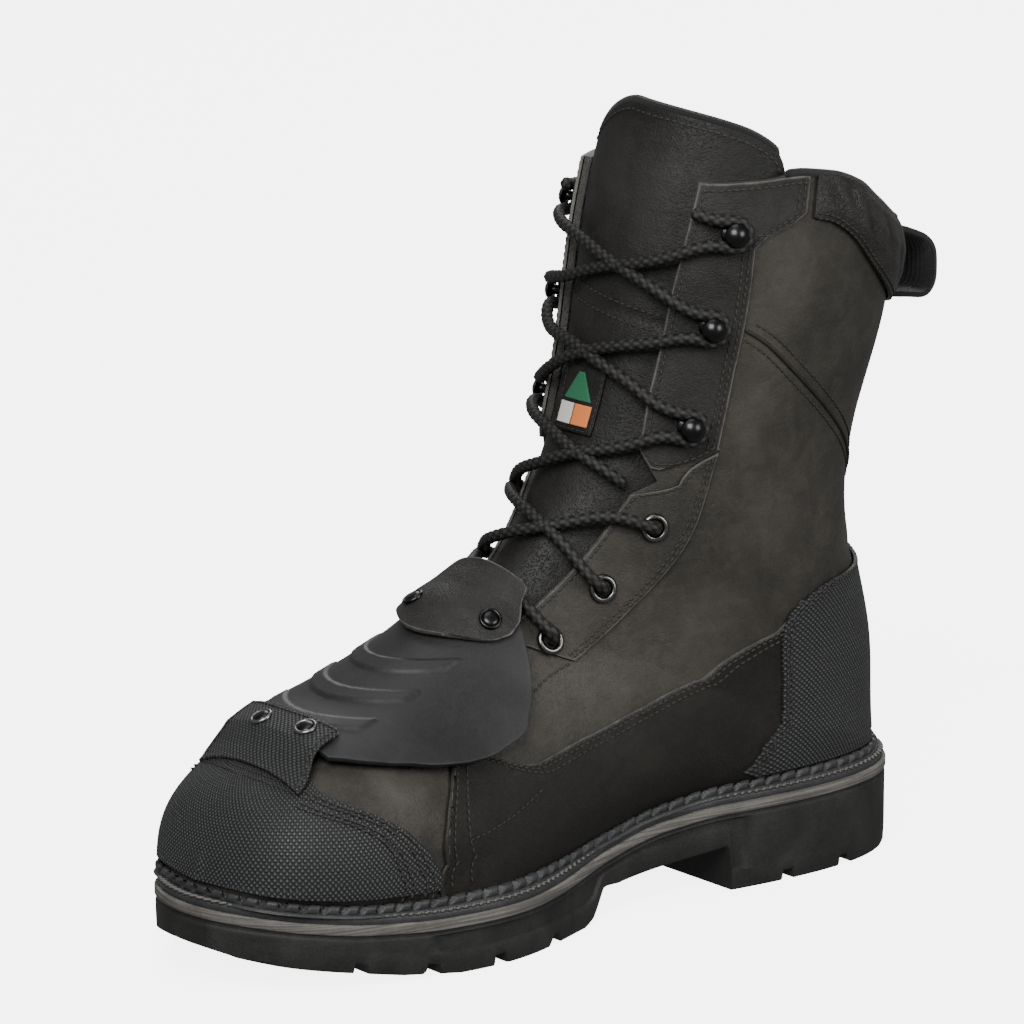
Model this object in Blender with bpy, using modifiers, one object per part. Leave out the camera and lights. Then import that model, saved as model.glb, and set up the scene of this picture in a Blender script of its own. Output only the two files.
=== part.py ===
"""Metatarsal guard boot, right foot: lace-up work boot with a welted lugged sole and a hinged guard
over the instep. Metres, +Z up, toe along +X, medial side along +Y, origin at the middle of the heel's
floor face. Tables are in millimetres; stations run forward from the back of the heel."""
from math import pi

import bmesh
import bpy
import numpy as np
from mathutils import Matrix, Vector

MM = 0.001
LENGTH = 312.5          # midsole, back of the heel to the toe
HEEL_BACK = -46.5       # where the back of the heel stands; the heel's floor face is centred on x = 0
LEATHER = 2.4           # wall of the upper, leather with its lining
GAP = 0.3               # room left between curved pieces that rest on one another
FEATHER_INSET = 7.0     # upper's lower edge, in from the edge of the midsole
WELT_THICK = 3.3        # storm welt under the upper's lower edge
TOP_ROW, HEEL_ROW, TOE_ROW = 0, 10, 20

# plan of the midsole's edge: station from the back of the heel, medial half, lateral half (mm)
OUTLINE = (
    ("back", 0.0, 0.0, 0.0),
    ("heel curve", 10.0, 23.4, -23.8),
    ("heel side", 25.0, 33.0, -33.6),
    ("heel", 45.0, 38.0, -38.5),
    ("heel front", 70.0, 39.2, -39.8),
    ("breast", 95.0, 37.5, -40.4),
    ("waist", 120.0, 34.7, -41.2),
    ("arch", 145.0, 35.6, -43.6),
    ("behind ball", 170.0, 44.0, -47.6),
    ("ball rear", 195.0, 53.4, -52.2),
    ("ball", 215.0, 56.2, -55.2),
    ("ball front", 235.0, 54.8, -55.6),
    ("little toe", 255.0, 51.8, -51.8),
    ("toe side", 275.0, 48.0, -43.6),
    ("toe curve", 290.0, 41.6, -35.5),
    ("toe", 303.5, 29.2, -22.5),
    ("tip", 312.5, 5.5, 5.5),
)
# height of the midsole's top edge: station, height (mm)
TOP_LINE = (
    ("heel", 0.0, 32.5), ("heel front", 60.0, 32.5), ("breast", 95.0, 32.5), ("waist", 120.0, 30.4),
    ("arch", 150.0, 25.1), ("behind ball", 180.0, 21.4), ("ball", 205.0, 20.6), ("ball front", 235.0, 20.6),
    ("little toe", 260.0, 22.2), ("toe side", 285.0, 25.6), ("tip", 312.0, 29.6),
)
# shaft, from above the collar down to the heel: ridge of the front (x, z), line of the back (x, z),
# half widths, place of the widest point along the section, roundness of front and back
SHAFT = (
    ("over the tongue", 112.0, 286.0, 3.0, 270.0, 0.0, 45.0, 45.0, 0.50, 2.3, 2.3),
    ("collar top", 119.5, 257.0, 4.5, 240.0, 0.0, 46.0, 46.0, 0.50, 2.3, 2.3),
    ("collar", 123.5, 238.0, 6.0, 219.0, 0.0, 47.0, 47.0, 0.50, 2.3, 2.3),
    ("upper shaft", 128.0, 217.0, 8.5, 197.0, 0.0, 46.5, 46.5, 0.51, 2.25, 2.2),
    ("mid shaft", 133.0, 194.0, 16.5, 173.0, 0.0, 44.5, 44.5, 0.52, 2.2, 2.2),
    ("lower shaft", 139.0, 173.0, 22.5, 149.0, 0.0, 42.5, 42.5, 0.52, 2.2, 2.2),
    ("ankle", 147.0, 155.0, 22.5, 124.0, 0.0, 41.0, 41.0, 0.52, 2.15, 2.25),
    ("under ankle", 156.0, 141.0, 17.0, 100.0, 0.0, 40.0, 40.0, 0.54, 2.1, 2.3),
    ("heel bulge", 166.0, 129.5, 10.5, 77.0, 0.0, 38.0, 38.5, 0.57, 2.1, 2.25),
    ("heel low", 176.0, 120.5, 8.8, 55.0, 0.0, 37.0, 37.5, 0.61, 2.1, 2.2),
)
# foot, from the heel's edge to the toe, the lower edge on the feather line at even steps of its plan
FOOT = (
    ("heel edge", 186.0, 113.5, 0.0, 36.5, 37.0, 0.66, 2.1, 2.1),
    ("heel seat", 195.5, 109.5, 0.0, 36.5, 37.5, 0.69, 2.1, 2.1),
    ("heel", 205.0, 105.0, 0.0, 36.5, 38.0, 0.70, 2.1, 2.1),
    ("breast", 214.5, 100.0, 0.0, 36.5, 39.0, 0.70, 2.1, 2.2),
    ("waist", 224.5, 94.5, 0.0, 38.0, 41.5, 0.70, 2.2, 2.3),
    ("behind ball", 236.0, 89.0, 0.3, 42.0, 45.5, 0.72, 2.25, 2.6),
    ("ball", 249.0, 83.5, 1.0, 47.5, 49.5, 0.75, 2.35, 2.8),
    ("ball front", 263.5, 79.0, 2.0, 47.0, 50.0, 0.76, 2.45, 3.0),
    ("toe box", 279.5, 71.0, 3.5, 43.5, 44.5, 0.76, 2.4, 3.0),
    ("toe front", 295.0, 59.5, 4.8, 28.5, 31.5, 0.76, 2.3, 3.0),
    ("toe tip", 304.2, 41.0, 5.5, 0.05, 0.05, 0.76, 2.2, 3.0),
)


def spline(stations, rows):
    """Natural cubic spline through rows of values at the stations."""
    s, v = np.asarray(stations, float), np.asarray(rows, float)
    n, h = len(s), np.diff(s)
    system, right = np.zeros((n, n)), np.zeros(v.shape)
    system[0, 0] = system[-1, -1] = 1.0
    for i in range(1, n - 1):
        system[i, i - 1:i + 2] = h[i - 1], 2.0 * (h[i - 1] + h[i]), h[i]
        right[i] = 6.0 * ((v[i + 1] - v[i]) / h[i] - (v[i] - v[i - 1]) / h[i - 1])
    bend = np.linalg.solve(system, right)

    def at(x):
        x = np.clip(np.asarray(x, float), s[0], s[-1])
        i = np.clip(np.searchsorted(s, x) - 1, 0, n - 2)
        past, left, step = x - s[i], s[i + 1] - x, h[i]
        if v.ndim > 1:
            past, left, step = past[..., None], left[..., None], step[..., None]
        return ((bend[i] * left ** 3 + bend[i + 1] * past ** 3) / (6.0 * step)
                + (v[i] / step - bend[i] * step / 6.0) * left
                + (v[i + 1] / step - bend[i + 1] * step / 6.0) * past)
    return at


def steady(stations, values):
    """Monotone cubic through values, which never swings past them."""
    s, v = np.asarray(stations, float), np.asarray(values, float)
    h = np.diff(s)
    d = np.diff(v) / h
    m = np.zeros_like(v)
    m[0], m[-1] = d[0], d[-1]
    for i in range(1, len(s) - 1):
        if d[i - 1] * d[i] > 0.0:
            w1, w2 = 2.0 * h[i] + h[i - 1], h[i] + 2.0 * h[i - 1]
            m[i] = (w1 + w2) / (w1 / d[i - 1] + w2 / d[i])

    def at(x):
        x = np.clip(np.asarray(x, float), s[0], s[-1])
        i = np.clip(np.searchsorted(s, x) - 1, 0, len(s) - 2)
        t, step = (x - s[i]) / h[i], h[i]
        return (v[i] * (2 * t ** 3 - 3 * t ** 2 + 1) + step * m[i] * (t ** 3 - 2 * t ** 2 + t)
                + v[i + 1] * (3 * t ** 2 - 2 * t ** 3) + step * m[i + 1] * (t ** 3 - t ** 2))
    return at


# Sole plan.
_stations = np.array([row[1] for row in OUTLINE])
_turn = np.arccos(np.clip(1.0 - 2.0 * _stations / LENGTH, -1.0, 1.0)) / pi
_plan = spline(_turn, np.array([row[2:] for row in OUTLINE]))
top_line = steady([row[1] for row in TOP_LINE], [row[2] for row in TOP_LINE])


def even_stations(count):
    return LENGTH * (1.0 - np.cos(pi * np.linspace(0.0, 1.0, count + 1))) / 2.0


def plan_loop(inset, stations):
    """Sole outline, inset from the midsole's edge, as a closed loop that starts at the back,
    runs along the medial side to the toe and returns along the lateral side."""
    x = np.asarray(stations, float)
    both = _plan(np.arccos(np.clip(1.0 - 2.0 * x / LENGTH, -1.0, 1.0)) / pi)
    loop = np.concatenate([np.c_[x, both[:, 0]], np.c_[x, both[:, 1]][-2:0:-1]])
    ahead, behind = np.roll(loop, -1, 0), np.roll(loop, 1, 0)
    way = ahead - behind
    way /= np.linalg.norm(way, axis=1)[:, None]
    return loop + np.reshape(inset, (-1, 1)) * np.c_[way[:, 1], -way[:, 0]]


def plan_half(inset):
    """Medial and lateral edge of the inset outline against its turn from back (0) to toe (1)."""
    loop = plan_loop(inset, even_stations(200))
    first, last = loop[:, 0].min(), loop[:, 0].max()
    halves = []
    for part in (loop[:201], np.concatenate([loop[200:], loop[:1]])[::-1]):
        order = np.argsort(part[:, 0], kind="stable")
        halves.append(part[order])
    return first, last, halves


FEATHER_BACK, FEATHER_TIP, FEATHER = plan_half(FEATHER_INSET)


def feather_line(x):
    """Height of the upper's lower edge."""
    return top_line(x) + WELT_THICK


# Upper's face.
_rows = np.array([row[1:3] + row[5:] for row in SHAFT] + [row[1:] for row in FOOT])
_form = spline(np.arange(TOE_ROW + 1), _rows)
_back = spline(np.arange(HEEL_ROW + 1),
               np.array([row[3:5] for row in SHAFT] + [(FEATHER_BACK, float(feather_line(FEATHER_BACK)))]))


def skin(side, row, girth, lift=0.0):
    """Points of the upper's outer face. side is +1 medial or -1 lateral, row runs 0 above the collar,
    10 at the heel's edge and 20 at the toe tip, girth 0 on the ridge, 0.5 at the widest and 1 at the
    back or the lower edge; lift is measured square to the face."""
    row, girth = np.broadcast_arrays(np.asarray(row, float), np.asarray(girth, float))
    if np.any(lift):
        da, dg = 0.02, 0.004
        a = np.clip(row, da, TOE_ROW - 0.35)
        g = np.clip(girth, dg, 1.0 - dg)
        along = skin(side, a + da, g) - skin(side, a - da, g)
        round_ = skin(side, a, g + dg) - skin(side, a, g - dg)
        out = np.cross(along, round_) * side
        flat = (girth <= 0.0) | ((girth >= 1.0) & (row <= HEEL_ROW - 0.01)) | (row >= TOE_ROW - 0.01)
        out[..., 1] = np.where(flat, 0.0, out[..., 1])
        out /= np.linalg.norm(out, axis=-1)[..., None]
        return skin(side, row, girth) + out * np.asarray(lift, float)[..., None]
    form = _form(row)
    fx, fz, mid, wide_m, wide_l, tm, pf, pb = np.moveaxis(form, -1, 0)
    wide = wide_m if side > 0 else wide_l
    step = np.clip((row - HEEL_ROW) / (TOE_ROW - HEEL_ROW), 0.0, 1.0)
    base_x = FEATHER_BACK + (FEATHER_TIP - FEATHER_BACK) * (1.0 - np.cos(pi * step)) / 2.0
    half = FEATHER[0 if side > 0 else 1]
    edge = np.abs(np.interp(base_x, half[:, 0], half[:, 1]) - mid)
    on_foot = row > HEEL_ROW
    back = _back(row)
    bx = np.where(on_foot, base_x, back[..., 0])
    bz = np.where(on_foot, feather_line(base_x), back[..., 1])
    edge = np.where(on_foot & (step < 0.9999), edge, 0.0)
    wide = np.maximum(wide, edge * 1.004 + 0.01)
    reach = np.clip(1.0 - (edge / wide) ** pb, 1e-9, 1.0) ** (1.0 / pb)
    end = pi - np.arctan2(edge / wide, reach)
    angle = np.where(girth < 0.5, pi * girth, pi / 2 + (end - pi / 2) * (2.0 * girth - 1.0))
    c, s = np.abs(np.cos(angle)), np.clip(np.sin(angle), 0.0, 1.0)
    power = np.where(angle < pi / 2, pf, pb)
    r = (c ** power + s ** power) ** (-1.0 / power)
    t = np.where(angle < pi / 2, tm - tm * c * r, tm + (1.0 - tm) / reach * c * r)
    y = mid + side * wide * s * r
    return np.stack([fx + (bx - fx) * t, y, fz + (bz - fz) * t], -1)


def face(turn, row, lift=0.0):
    """Point of the upper's face by its signed turn: 0 on the ridge, + medial and - lateral, past 1
    on from the back along the lateral side."""
    turn, row, lift = np.broadcast_arrays(*(np.asarray(v, float) for v in (turn, row, lift)))
    lateral = (turn < 0.0) | (turn > 1.0)
    girth = np.where(turn > 1.0, 2.0 - turn, np.abs(turn))
    return np.where(lateral[..., None], skin(-1, row, girth, lift), skin(1, row, girth, lift))


def placed(points):
    """Millimetres from the back of the heel to metres in the part's frame."""
    return (np.asarray(points, float) + (HEEL_BACK, 0.0, 0.0)) * MM


# Sizes of the pieces, in mm.
STRIPE = 2.7            # grey midsole
BAND = 2.8              # band under the midsole, set back
BAND_INSET = 0.9
BASE_BAND = 7.5         # height of the outsole's plain base above its tread
RECESS = 1.3            # depth of the side panel above the base band
RECESS_FROM, RECESS_TO = 88.0, 239.0
LIP_OUT, LIP_THICK, LIP_HEIGHT = 3.9, 1.5, 6.4
INSOLE_THICK = 3.0
OVERLAY = 1.1           # thickness of the sewn-on pieces
OVERLAY_GAP = 0.5
COUNTER_GAP = 0.8       # the counter spans the hollow above the heel
LIP_CLEAR = 1.3         # lower edge of the cap and the counter, above the welt's lip
GUARD_THICK = 2.2
FLAP_THICK = 1.9
TONGUE_THICK = 3.5
LACE_RADIUS = 2.15
GROOVE_WIDTH, GROOVE_DEPTH = 5.0, 3.6

# underside of the outsole: station, height of the tread (mm)
TREAD = (
    ("heel back", 0.0, 1.6), ("heel", 3.0, 0.0), ("breast foot", 94.0, 0.0), ("breast top", 95.2, 16.6),
    ("shank", 118.0, 14.2), ("arch", 144.0, 11.4), ("step top", 152.0, 12.0), ("step foot", 158.0, 2.2),
    ("tread rear", 163.0, 0.0), ("tread front", 229.0, 0.0), ("spring", 252.0, 2.6), ("toe", 271.0, 6.2),
    ("toe curve", 290.0, 9.6), ("tip rear", 303.0, 12.2), ("tip", 312.5, 17.0),
)
HEEL_GROOVES = (41.0, 69.0)
FORE_GROOVES = (184.0, 213.0, 240.5, 268.0)
# front edge of the throat: row, girth
THROAT = (
    ("collar", 0.0, 0.238), ("top hook", 1.35, 0.222), ("middle", 2.85, 0.203), ("low hook", 4.48, 0.200),
    ("notch top", 5.30, 0.212), ("notch", 5.80, 0.270), ("notch foot", 6.12, 0.225), ("eyelet", 6.60, 0.208),
    ("instep", 7.93, 0.182), ("second eyelet", 9.25, 0.158), ("third eyelet", 10.4, 0.140),
    ("vamp point", 11.4, 0.085), ("closed", 12.0, 0.0),
)
# collar's edge: girth, row
COLLAR = (
    ("front", 0.0, 0.92), ("facing", 0.238, 0.90), ("quarter", 0.345, 0.80), ("side", 0.448, 0.69),
    ("top", 0.515, 0.70), ("pad", 0.588, 0.80), ("fall", 0.65, 1.02), ("low", 0.75, 1.32), ("back", 1.0, 1.52),
)
# lower seam of the collar pad: girth, row
PAD_SEAM = (
    ("front", 0.470, 1.30), ("side", 0.515, 1.34), ("fall", 0.565, 1.53), ("rear side", 0.65, 2.15),
    ("rear", 0.713, 2.48), ("low", 0.80, 2.75), ("back", 1.0, 2.95),
)
# hook facing's rear edge: row, girth
FACING_REAR = (
    ("collar", 0.60, 0.455), ("pad", 1.25, 0.455), ("corner", 1.45, 0.425), ("bend", 1.68, 0.372),
    ("side", 1.90, 0.352), ("middle", 3.85, 0.355), ("foot", 5.60, 0.368),
)
# hook facing's lower edge: girth, row
FACING_FOOT = (("front", 0.250, 5.62), ("corner", 0.265, 5.58), ("middle", 0.320, 5.32), ("rear", 0.370, 5.08))
# eyelet stay's upper edge: share of its width from the throat, row
STAY_TOP = (("notch foot", 0.0, 6.14), ("notch", 0.333, 5.88), ("middle", 0.667, 5.48), ("rear", 1.0, 5.16))
# eyelet stay's rear edge: row, girth
STAY_REAR = (
    ("top", 5.00, 0.368), ("ankle", 6.15, 0.365), ("bend", 6.78, 0.352), ("instep", 7.75, 0.320),
    ("second eyelet", 8.72, 0.290), ("third eyelet", 10.0, 0.258), ("vamp", 12.5, 0.265), ("foot", 13.0, 0.28),
)
# toe cap's rear edge: girth, row
CAP_REAR = (
    ("ridge", 0.0, 17.55), ("flap", 0.15, 17.60), ("corner", 0.215, 17.78), ("shoulder", 0.27, 17.55),
    ("side", 0.333, 17.12), ("low side", 0.385, 16.80), ("bend", 0.435, 16.66), ("foot", 0.60, 16.62),
    ("welt", 1.0, 16.80),
)
# heel counter's front edge: row, girth
COUNTER_FRONT = (
    ("back", 6.40, 1.0), ("top", 6.68, 0.815), ("fall", 6.84, 0.740), ("shoulder", 7.50, 0.61),
    ("corner", 7.98, 0.535), ("front", 8.25, 0.525), ("heel", 9.00, 0.508), ("low", 9.85, 0.490),
    ("edge", 10.8, 0.497), ("base", 11.8, 0.530), ("foot rear", 12.5, 0.62), ("foot", 13.15, 0.82),
)
# half width of the guard: row, girth
GUARD_SIDE = (
    ("rear", 9.90, 0.120), ("hinge", 10.4, 0.146), ("lobe", 10.8, 0.165), ("lobe side", 11.83, 0.210),
    ("side", 13.0, 0.265), ("widest", 13.83, 0.310), ("lower lobe", 14.38, 0.335), ("corner", 14.88, 0.335),
    ("low edge", 15.35, 0.320), ("front side", 15.78, 0.295), ("fall", 16.23, 0.260), ("under flap", 16.85, 0.217),
    ("front", 17.3, 0.170),
)
# medial edge of the flap over the hinge: row, turn
FLAP_SIDE = (
    ("rear", 9.00, 0.118), ("rear corner", 9.15, 0.130), ("waist", 9.5, 0.130), ("side", 10.1, 0.143),
    ("front side", 10.8, 0.160), ("corner", 11.4, 0.168), ("front corner", 11.9, 0.160), ("front", 12.1, 0.135),
)
FLAP_MIDDLE = 0.035     # turn of the flap's middle line
# height of the flap's inner face over the upper: row, lift
FLAP_LIFT = (("rear", 9.0, 7.2), ("rise", 9.8, 8.4), ("crown", 11.0, 8.6), ("fall", 12.0, 7.5), ("front", 12.6, 6.9))
FLAP_BOW = 0.42         # rows by which the flap's ends bow out on its middle line
# half width of the toe flap: row, girth
TOE_FLAP_SIDE = (
    ("rear", 16.68, 0.135), ("corner", 16.78, 0.150), ("neck", 17.05, 0.150), ("fall", 17.4, 0.158),
    ("seam", 17.85, 0.193), ("front", 18.08, 0.205),
)
# half width of the tongue: row, girth
TONGUE_SIDE = (
    ("top", 0.0, 0.415), ("collar", 0.9, 0.400), ("shaft", 2.5, 0.345), ("ankle", 6.0, 0.320),
    ("instep", 9.0, 0.270), ("vamp", 12.6, 0.200),
)
# top edge of the tongue: girth, row
TONGUE_TOP = (
    ("ridge", 0.0, 0.08), ("crown", 0.175, 0.15), ("shoulder", 0.32, 0.27), ("corner", 0.38, 0.37),
    ("side", 0.415, 0.66),
)
HARDWARE_LIFT = OVERLAY_GAP + OVERLAY + 0.35
HOOKS = (("top", 1.70, 0.305), ("middle", 3.25, 0.290), ("low", 4.80, 0.295))
EYELETS = (("ankle", 6.70, 0.285), ("instep", 8.38, 0.240), ("lower", 10.60, 0.212))
GUARD_RIVETS = (("medial", 11.15, 0.126), ("lateral", 11.45, -0.035))
TOE_RIVETS = (("medial", 17.05, 0.086), ("lateral", 17.18, -0.050))


def between(table, values):
    """Straight interpolation in a table of named rows: second column against the first."""
    return np.interp(values, [row[1] for row in table], [row[2] for row in table])


def material(name, colour, roughness, metallic=0.0):
    """Principled material with the piece's plain colour."""
    made = bpy.data.materials.new(name)
    made.use_nodes = True
    shader = made.node_tree.nodes["Principled BSDF"]
    shader.inputs["Base Color"].default_value = (*colour, 1.0)
    shader.inputs["Roughness"].default_value = roughness
    shader.inputs["Metallic"].default_value = metallic
    made.diffuse_color = (*colour, 1.0)
    return made


def collection(name):
    made = bpy.data.collections.new(name)
    bpy.context.scene.collection.children.link(made)
    return made


def add(name, mesh, look, home):
    """Object of the mesh with its material, shaded smooth, in its collection."""
    made = bpy.data.objects.new(name, mesh)
    if look:
        mesh.materials.append(look)
    mesh.shade_smooth()
    home.objects.link(made)
    return made


def mesh_from(name, points, faces, join=0.0):
    """Mesh of placed points, with doubles closer than join (mm) welded."""
    mesh = bpy.data.meshes.new(name)
    mesh.from_pydata([tuple(p) for p in placed(points)], [], faces)
    if join:
        work = bmesh.new()
        work.from_mesh(mesh)
        bmesh.ops.remove_doubles(work, verts=work.verts, dist=join * MM)
        bmesh.ops.dissolve_degenerate(work, edges=work.edges, dist=0.02 * MM)
        work.to_mesh(mesh)
        work.free()
    return mesh


def grid_faces(count_i, count_j, first=0):
    """Quads of a grid, facing out for rows down the boot and columns round it to the medial side."""
    return [(first + i * count_j + j, first + (i + 1) * count_j + j,
             first + (i + 1) * count_j + j + 1, first + i * count_j + j + 1)
            for i in range(count_i - 1) for j in range(count_j - 1)]


def shell(name, points, thickness, look, home, join=0.0):
    """Open surface through a grid of points, thickened inward."""
    rows, columns = points.shape[:2]
    made = add(name, mesh_from(name, points.reshape(-1, 3), grid_faces(rows, columns), join), look, home)
    return thicken(made, thickness)


def thicken(made, thickness):
    solid = made.modifiers.new("wall", "SOLIDIFY")
    solid.thickness = thickness * MM
    solid.offset = -1.0
    return made


def stack(name, loops, look, home):
    """Solid through closed loops of equal count, the first loop capped below and the last above.
    Loops run from the back along the medial side to the toe and return."""
    count = len(loops[0])
    half = count // 2
    faces = []
    for level in range(len(loops) - 1):
        low, high = level * count, (level + 1) * count
        for i in range(count):
            j = (i + 1) % count
            faces.append((low + i, high + i, high + j, low + j))
    last = (len(loops) - 1) * count
    for first, up in ((0, False), (last, True)):
        for i in range(half):
            a, b, c, d = i, i + 1, (count - i - 1) % count, (count - i) % count
            cap = [first + a, first + b, first + c, first + d] if not up else [first + d, first + c,
                                                                              first + b, first + a]
            faces.append(tuple(dict.fromkeys(cap)))
    mesh = mesh_from(name, np.concatenate(loops), faces)
    work = bmesh.new()
    work.from_mesh(mesh)
    bmesh.ops.recalc_face_normals(work, faces=work.faces)
    work.to_mesh(mesh)
    work.free()
    return add(name, mesh, look, home)


def frame_at(turn, row, lift):
    """Placement on the upper's face, with +Z square to it and +X down the boot."""
    here = face(turn, row, lift)
    up = Vector(face(turn, row, lift + 1.0) - here).normalized()
    along = Vector(face(turn, row + 0.1, lift) - here)
    x = (along - up * along.dot(up)).normalized()
    y = up.cross(x)
    turned = Matrix((x, y, up)).transposed().to_4x4()
    turned.translation = Vector(placed(here))
    return turned


# Sole.
def loop_at(inset, height, stations):
    """Closed loop of the sole's outline at an inset and a height that is a function of the station."""
    loop = plan_loop(inset, stations)
    return np.c_[loop, height(loop[:, 0])]


def tread_height(x):
    return between(TREAD, x)


def outsole_stations():
    """Even stations with the tread's own steps and the ends of the side panel."""
    steps = [row[1] for row in TREAD] + [RECESS_FROM - 3.0, RECESS_FROM + 3.0, RECESS_TO - 2.5, RECESS_TO + 2.5]
    even = [x for x in even_stations(26) if min(abs(x - s) for s in steps) > 2.2]
    return np.array(sorted(set(even) | set(steps)))


def outsole(look, home, tools):
    """Lugged rubber sole: tread, base band, side panel, set-back band under the midsole."""
    stations = outsole_stations()
    panel = np.interp(stations, (RECESS_FROM - 3.0, RECESS_FROM + 3.0, RECESS_TO - 2.5, RECESS_TO + 2.5),
                      (0.0, 1.0, 1.0, 0.0))
    panel_loop = np.concatenate([panel, panel[-2:0:-1]])

    def ledge(x):
        return top_line(x) - STRIPE - BAND

    def band(x):
        return np.minimum(tread_height(x) + BASE_BAND, ledge(x) - 2.5)

    tuck = np.interp(stations, (0.0, 8.0, 296.0, LENGTH), (1.6, 1.0, 1.2, 4.5))
    tuck_loop = np.concatenate([tuck, tuck[-2:0:-1]])
    loops = [
        loop_at(tuck_loop, tread_height, stations),
        loop_at(0.3, band, stations),
        loop_at(0.3 + RECESS * panel_loop, lambda x: band(x) + 0.8, stations),
        loop_at(0.3 + RECESS * panel_loop, lambda x: ledge(x) - 0.6, stations),
        loop_at(0.3, ledge, stations),
        loop_at(BAND_INSET, lambda x: ledge(x) + 0.3, stations),
        loop_at(BAND_INSET, lambda x: top_line(x) - STRIPE - GAP, stations),
    ]
    made = stack("outsole", loops, look, home)
    for name, x in ([("heel groove", x) for x in HEEL_GROOVES] + [("fore groove", x) for x in FORE_GROOVES]):
        slope = float(np.arctan((tread_height(x + 4.0) - tread_height(x - 4.0)) / 8.0))
        bpy.ops.mesh.primitive_cube_add(size=1.0)
        cutter = bpy.context.object
        cutter.name = name
        cutter.scale = (GROOVE_WIDTH * MM, 0.16, 2.0 * GROOVE_DEPTH * MM)
        cutter.rotation_euler = (0.0, -slope, 0.0)
        cutter.location = placed((x, 0.0, float(tread_height(x))))
        into(cutter, tools)
        cut(made, cutter)
    return made


def into(made, home):
    """Moves an object to a collection of cutters and hides it from the render."""
    for old in list(made.users_collection):
        old.objects.unlink(made)
    home.objects.link(made)
    made.hide_render = True
    made.display_type = "WIRE"


def cut(made, cutter, way="DIFFERENCE"):
    step = made.modifiers.new(cutter.name, "BOOLEAN")
    step.object = cutter
    step.operation = way
    step.solver = "EXACT"


def midsole(look, home):
    stations = even_stations(30)
    loops = [
        loop_at(0.5, lambda x: top_line(x) - STRIPE, stations),
        loop_at(0.0, lambda x: top_line(x) - STRIPE + 0.5, stations),
        loop_at(0.9, lambda x: top_line(x) - GAP, stations),
    ]
    return stack("midsole", loops, look, home)


def flare(stations, height):
    """How far the upper reaches out over its lower edge at a height above the midsole, for each point
    of the outline."""
    reach = []
    outline = plan_loop(FEATHER_INSET, stations)
    ahead, behind = np.roll(outline, -1, 0), np.roll(outline, 1, 0)
    way = (ahead - behind) / np.linalg.norm(ahead - behind, axis=1)[:, None]
    out = np.c_[-way[:, 1], way[:, 0]]
    rows = np.linspace(HEEL_ROW - 2.0, TOE_ROW, 320)
    girths = np.linspace(0.30, 1.0, 90)
    cloud = []
    for side in (1, -1):
        mesh = skin(side, rows[:, None], girths[None, :])
        over = mesh[..., 2] - top_line(mesh[..., 0])
        cloud.append(mesh[(over > WELT_THICK) & (over < height + 0.4)][:, :2])
    cloud = np.concatenate(cloud)
    for here, normal, along in zip(outline, out, way):
        apart = cloud - here
        near = np.abs(apart @ along) < 3.5
        reach.append(max(0.0, float((apart[near] @ normal).max())) if near.any() else 0.0)
    return np.array(reach)


def storm_welt(look, home):
    """Welt that carries the upper, with a ledge for the stitch and a lip that stands against it."""
    stations = even_stations(30)
    over = FEATHER_INSET - flare(stations, LIP_HEIGHT) - 3.0 * GAP
    inner = np.minimum(over, LIP_OUT + LIP_THICK)
    outer = np.minimum(np.full_like(inner, LIP_OUT), inner - 1.0)
    top = WELT_THICK - 2.0 * GAP
    loops = [
        loop_at(1.3, top_line, stations),
        loop_at(1.2, lambda x: top_line(x) + 2.2, stations),
        loop_at(outer - 0.5, lambda x: top_line(x) + 2.6, stations),
        loop_at(outer, lambda x: top_line(x) + LIP_HEIGHT - 0.4, stations),
        loop_at(inner, lambda x: top_line(x) + LIP_HEIGHT, stations),
        loop_at(inner + 0.2, lambda x: top_line(x) + top, stations),
    ]
    return stack("storm_welt", loops, look, home)


def insole(look, home):
    stations = even_stations(24)
    edge = FEATHER_INSET + LEATHER + 2.0
    low = WELT_THICK + GAP
    loops = [
        loop_at(edge, lambda x: top_line(x) + low, stations),
        loop_at(edge, lambda x: top_line(x) + low + INSOLE_THICK - 0.8, stations),
        loop_at(edge + 1.0, lambda x: top_line(x) + low + INSOLE_THICK, stations),
    ]
    return stack("insole", loops, look, home)


# Upper and what is sewn to it.
SHAFT_ROWS = (0.0, 0.45, 1.0, 1.65, 2.3, 3.0, 3.75, 4.5, 5.3, 5.8, 6.12, 6.6, 7.25, 7.9, 8.6, 9.3)
FOOT_ROWS = (10.0, 10.35, 10.8, 11.4, 12.0, 12.7, 13.4, 14.1, 14.9, 15.7, 16.4, 17.0, 17.6, 18.2, 18.75, 19.25,
             19.65, 20.0)
EDGE_COLUMNS = (0.0, 0.25, 0.5, 0.75)       # shares of the way from the throat's edge to the first whole column
COLUMNS = (0.4, 0.5, 0.6, 0.7, 0.8, 0.9, 1.0)


def warped(row, girth):
    """Row moved down to start at the collar's edge, easing out at the low hook."""
    return row + between(COLLAR, girth) * np.clip((5.3 - row) / 5.3, 0.0, 1.0)


def columns_from(front):
    """Girths of the upper's columns, one row for each value of the front edge."""
    share = np.array(EDGE_COLUMNS)[None, :]
    whole = np.broadcast_to(np.array(COLUMNS), (len(front), len(COLUMNS)))
    return np.concatenate([front[:, None] + (COLUMNS[0] - front[:, None]) * share, whole], axis=1)


def low_edge(side, row, over):
    """Girth at which an overlay on a row stands a height over the midsole's edge, or 1 at the back."""
    girths = np.linspace(0.4, 1.0, 241)
    points = skin(side, np.asarray(row, float)[:, None], girths[None, :], OVERLAY_GAP + OVERLAY)
    clear = points[..., 2] - top_line(points[..., 0]) >= over
    return np.array([girths[np.nonzero(line)[0].max()] if line.any() else girths[0] for line in clear])


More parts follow.
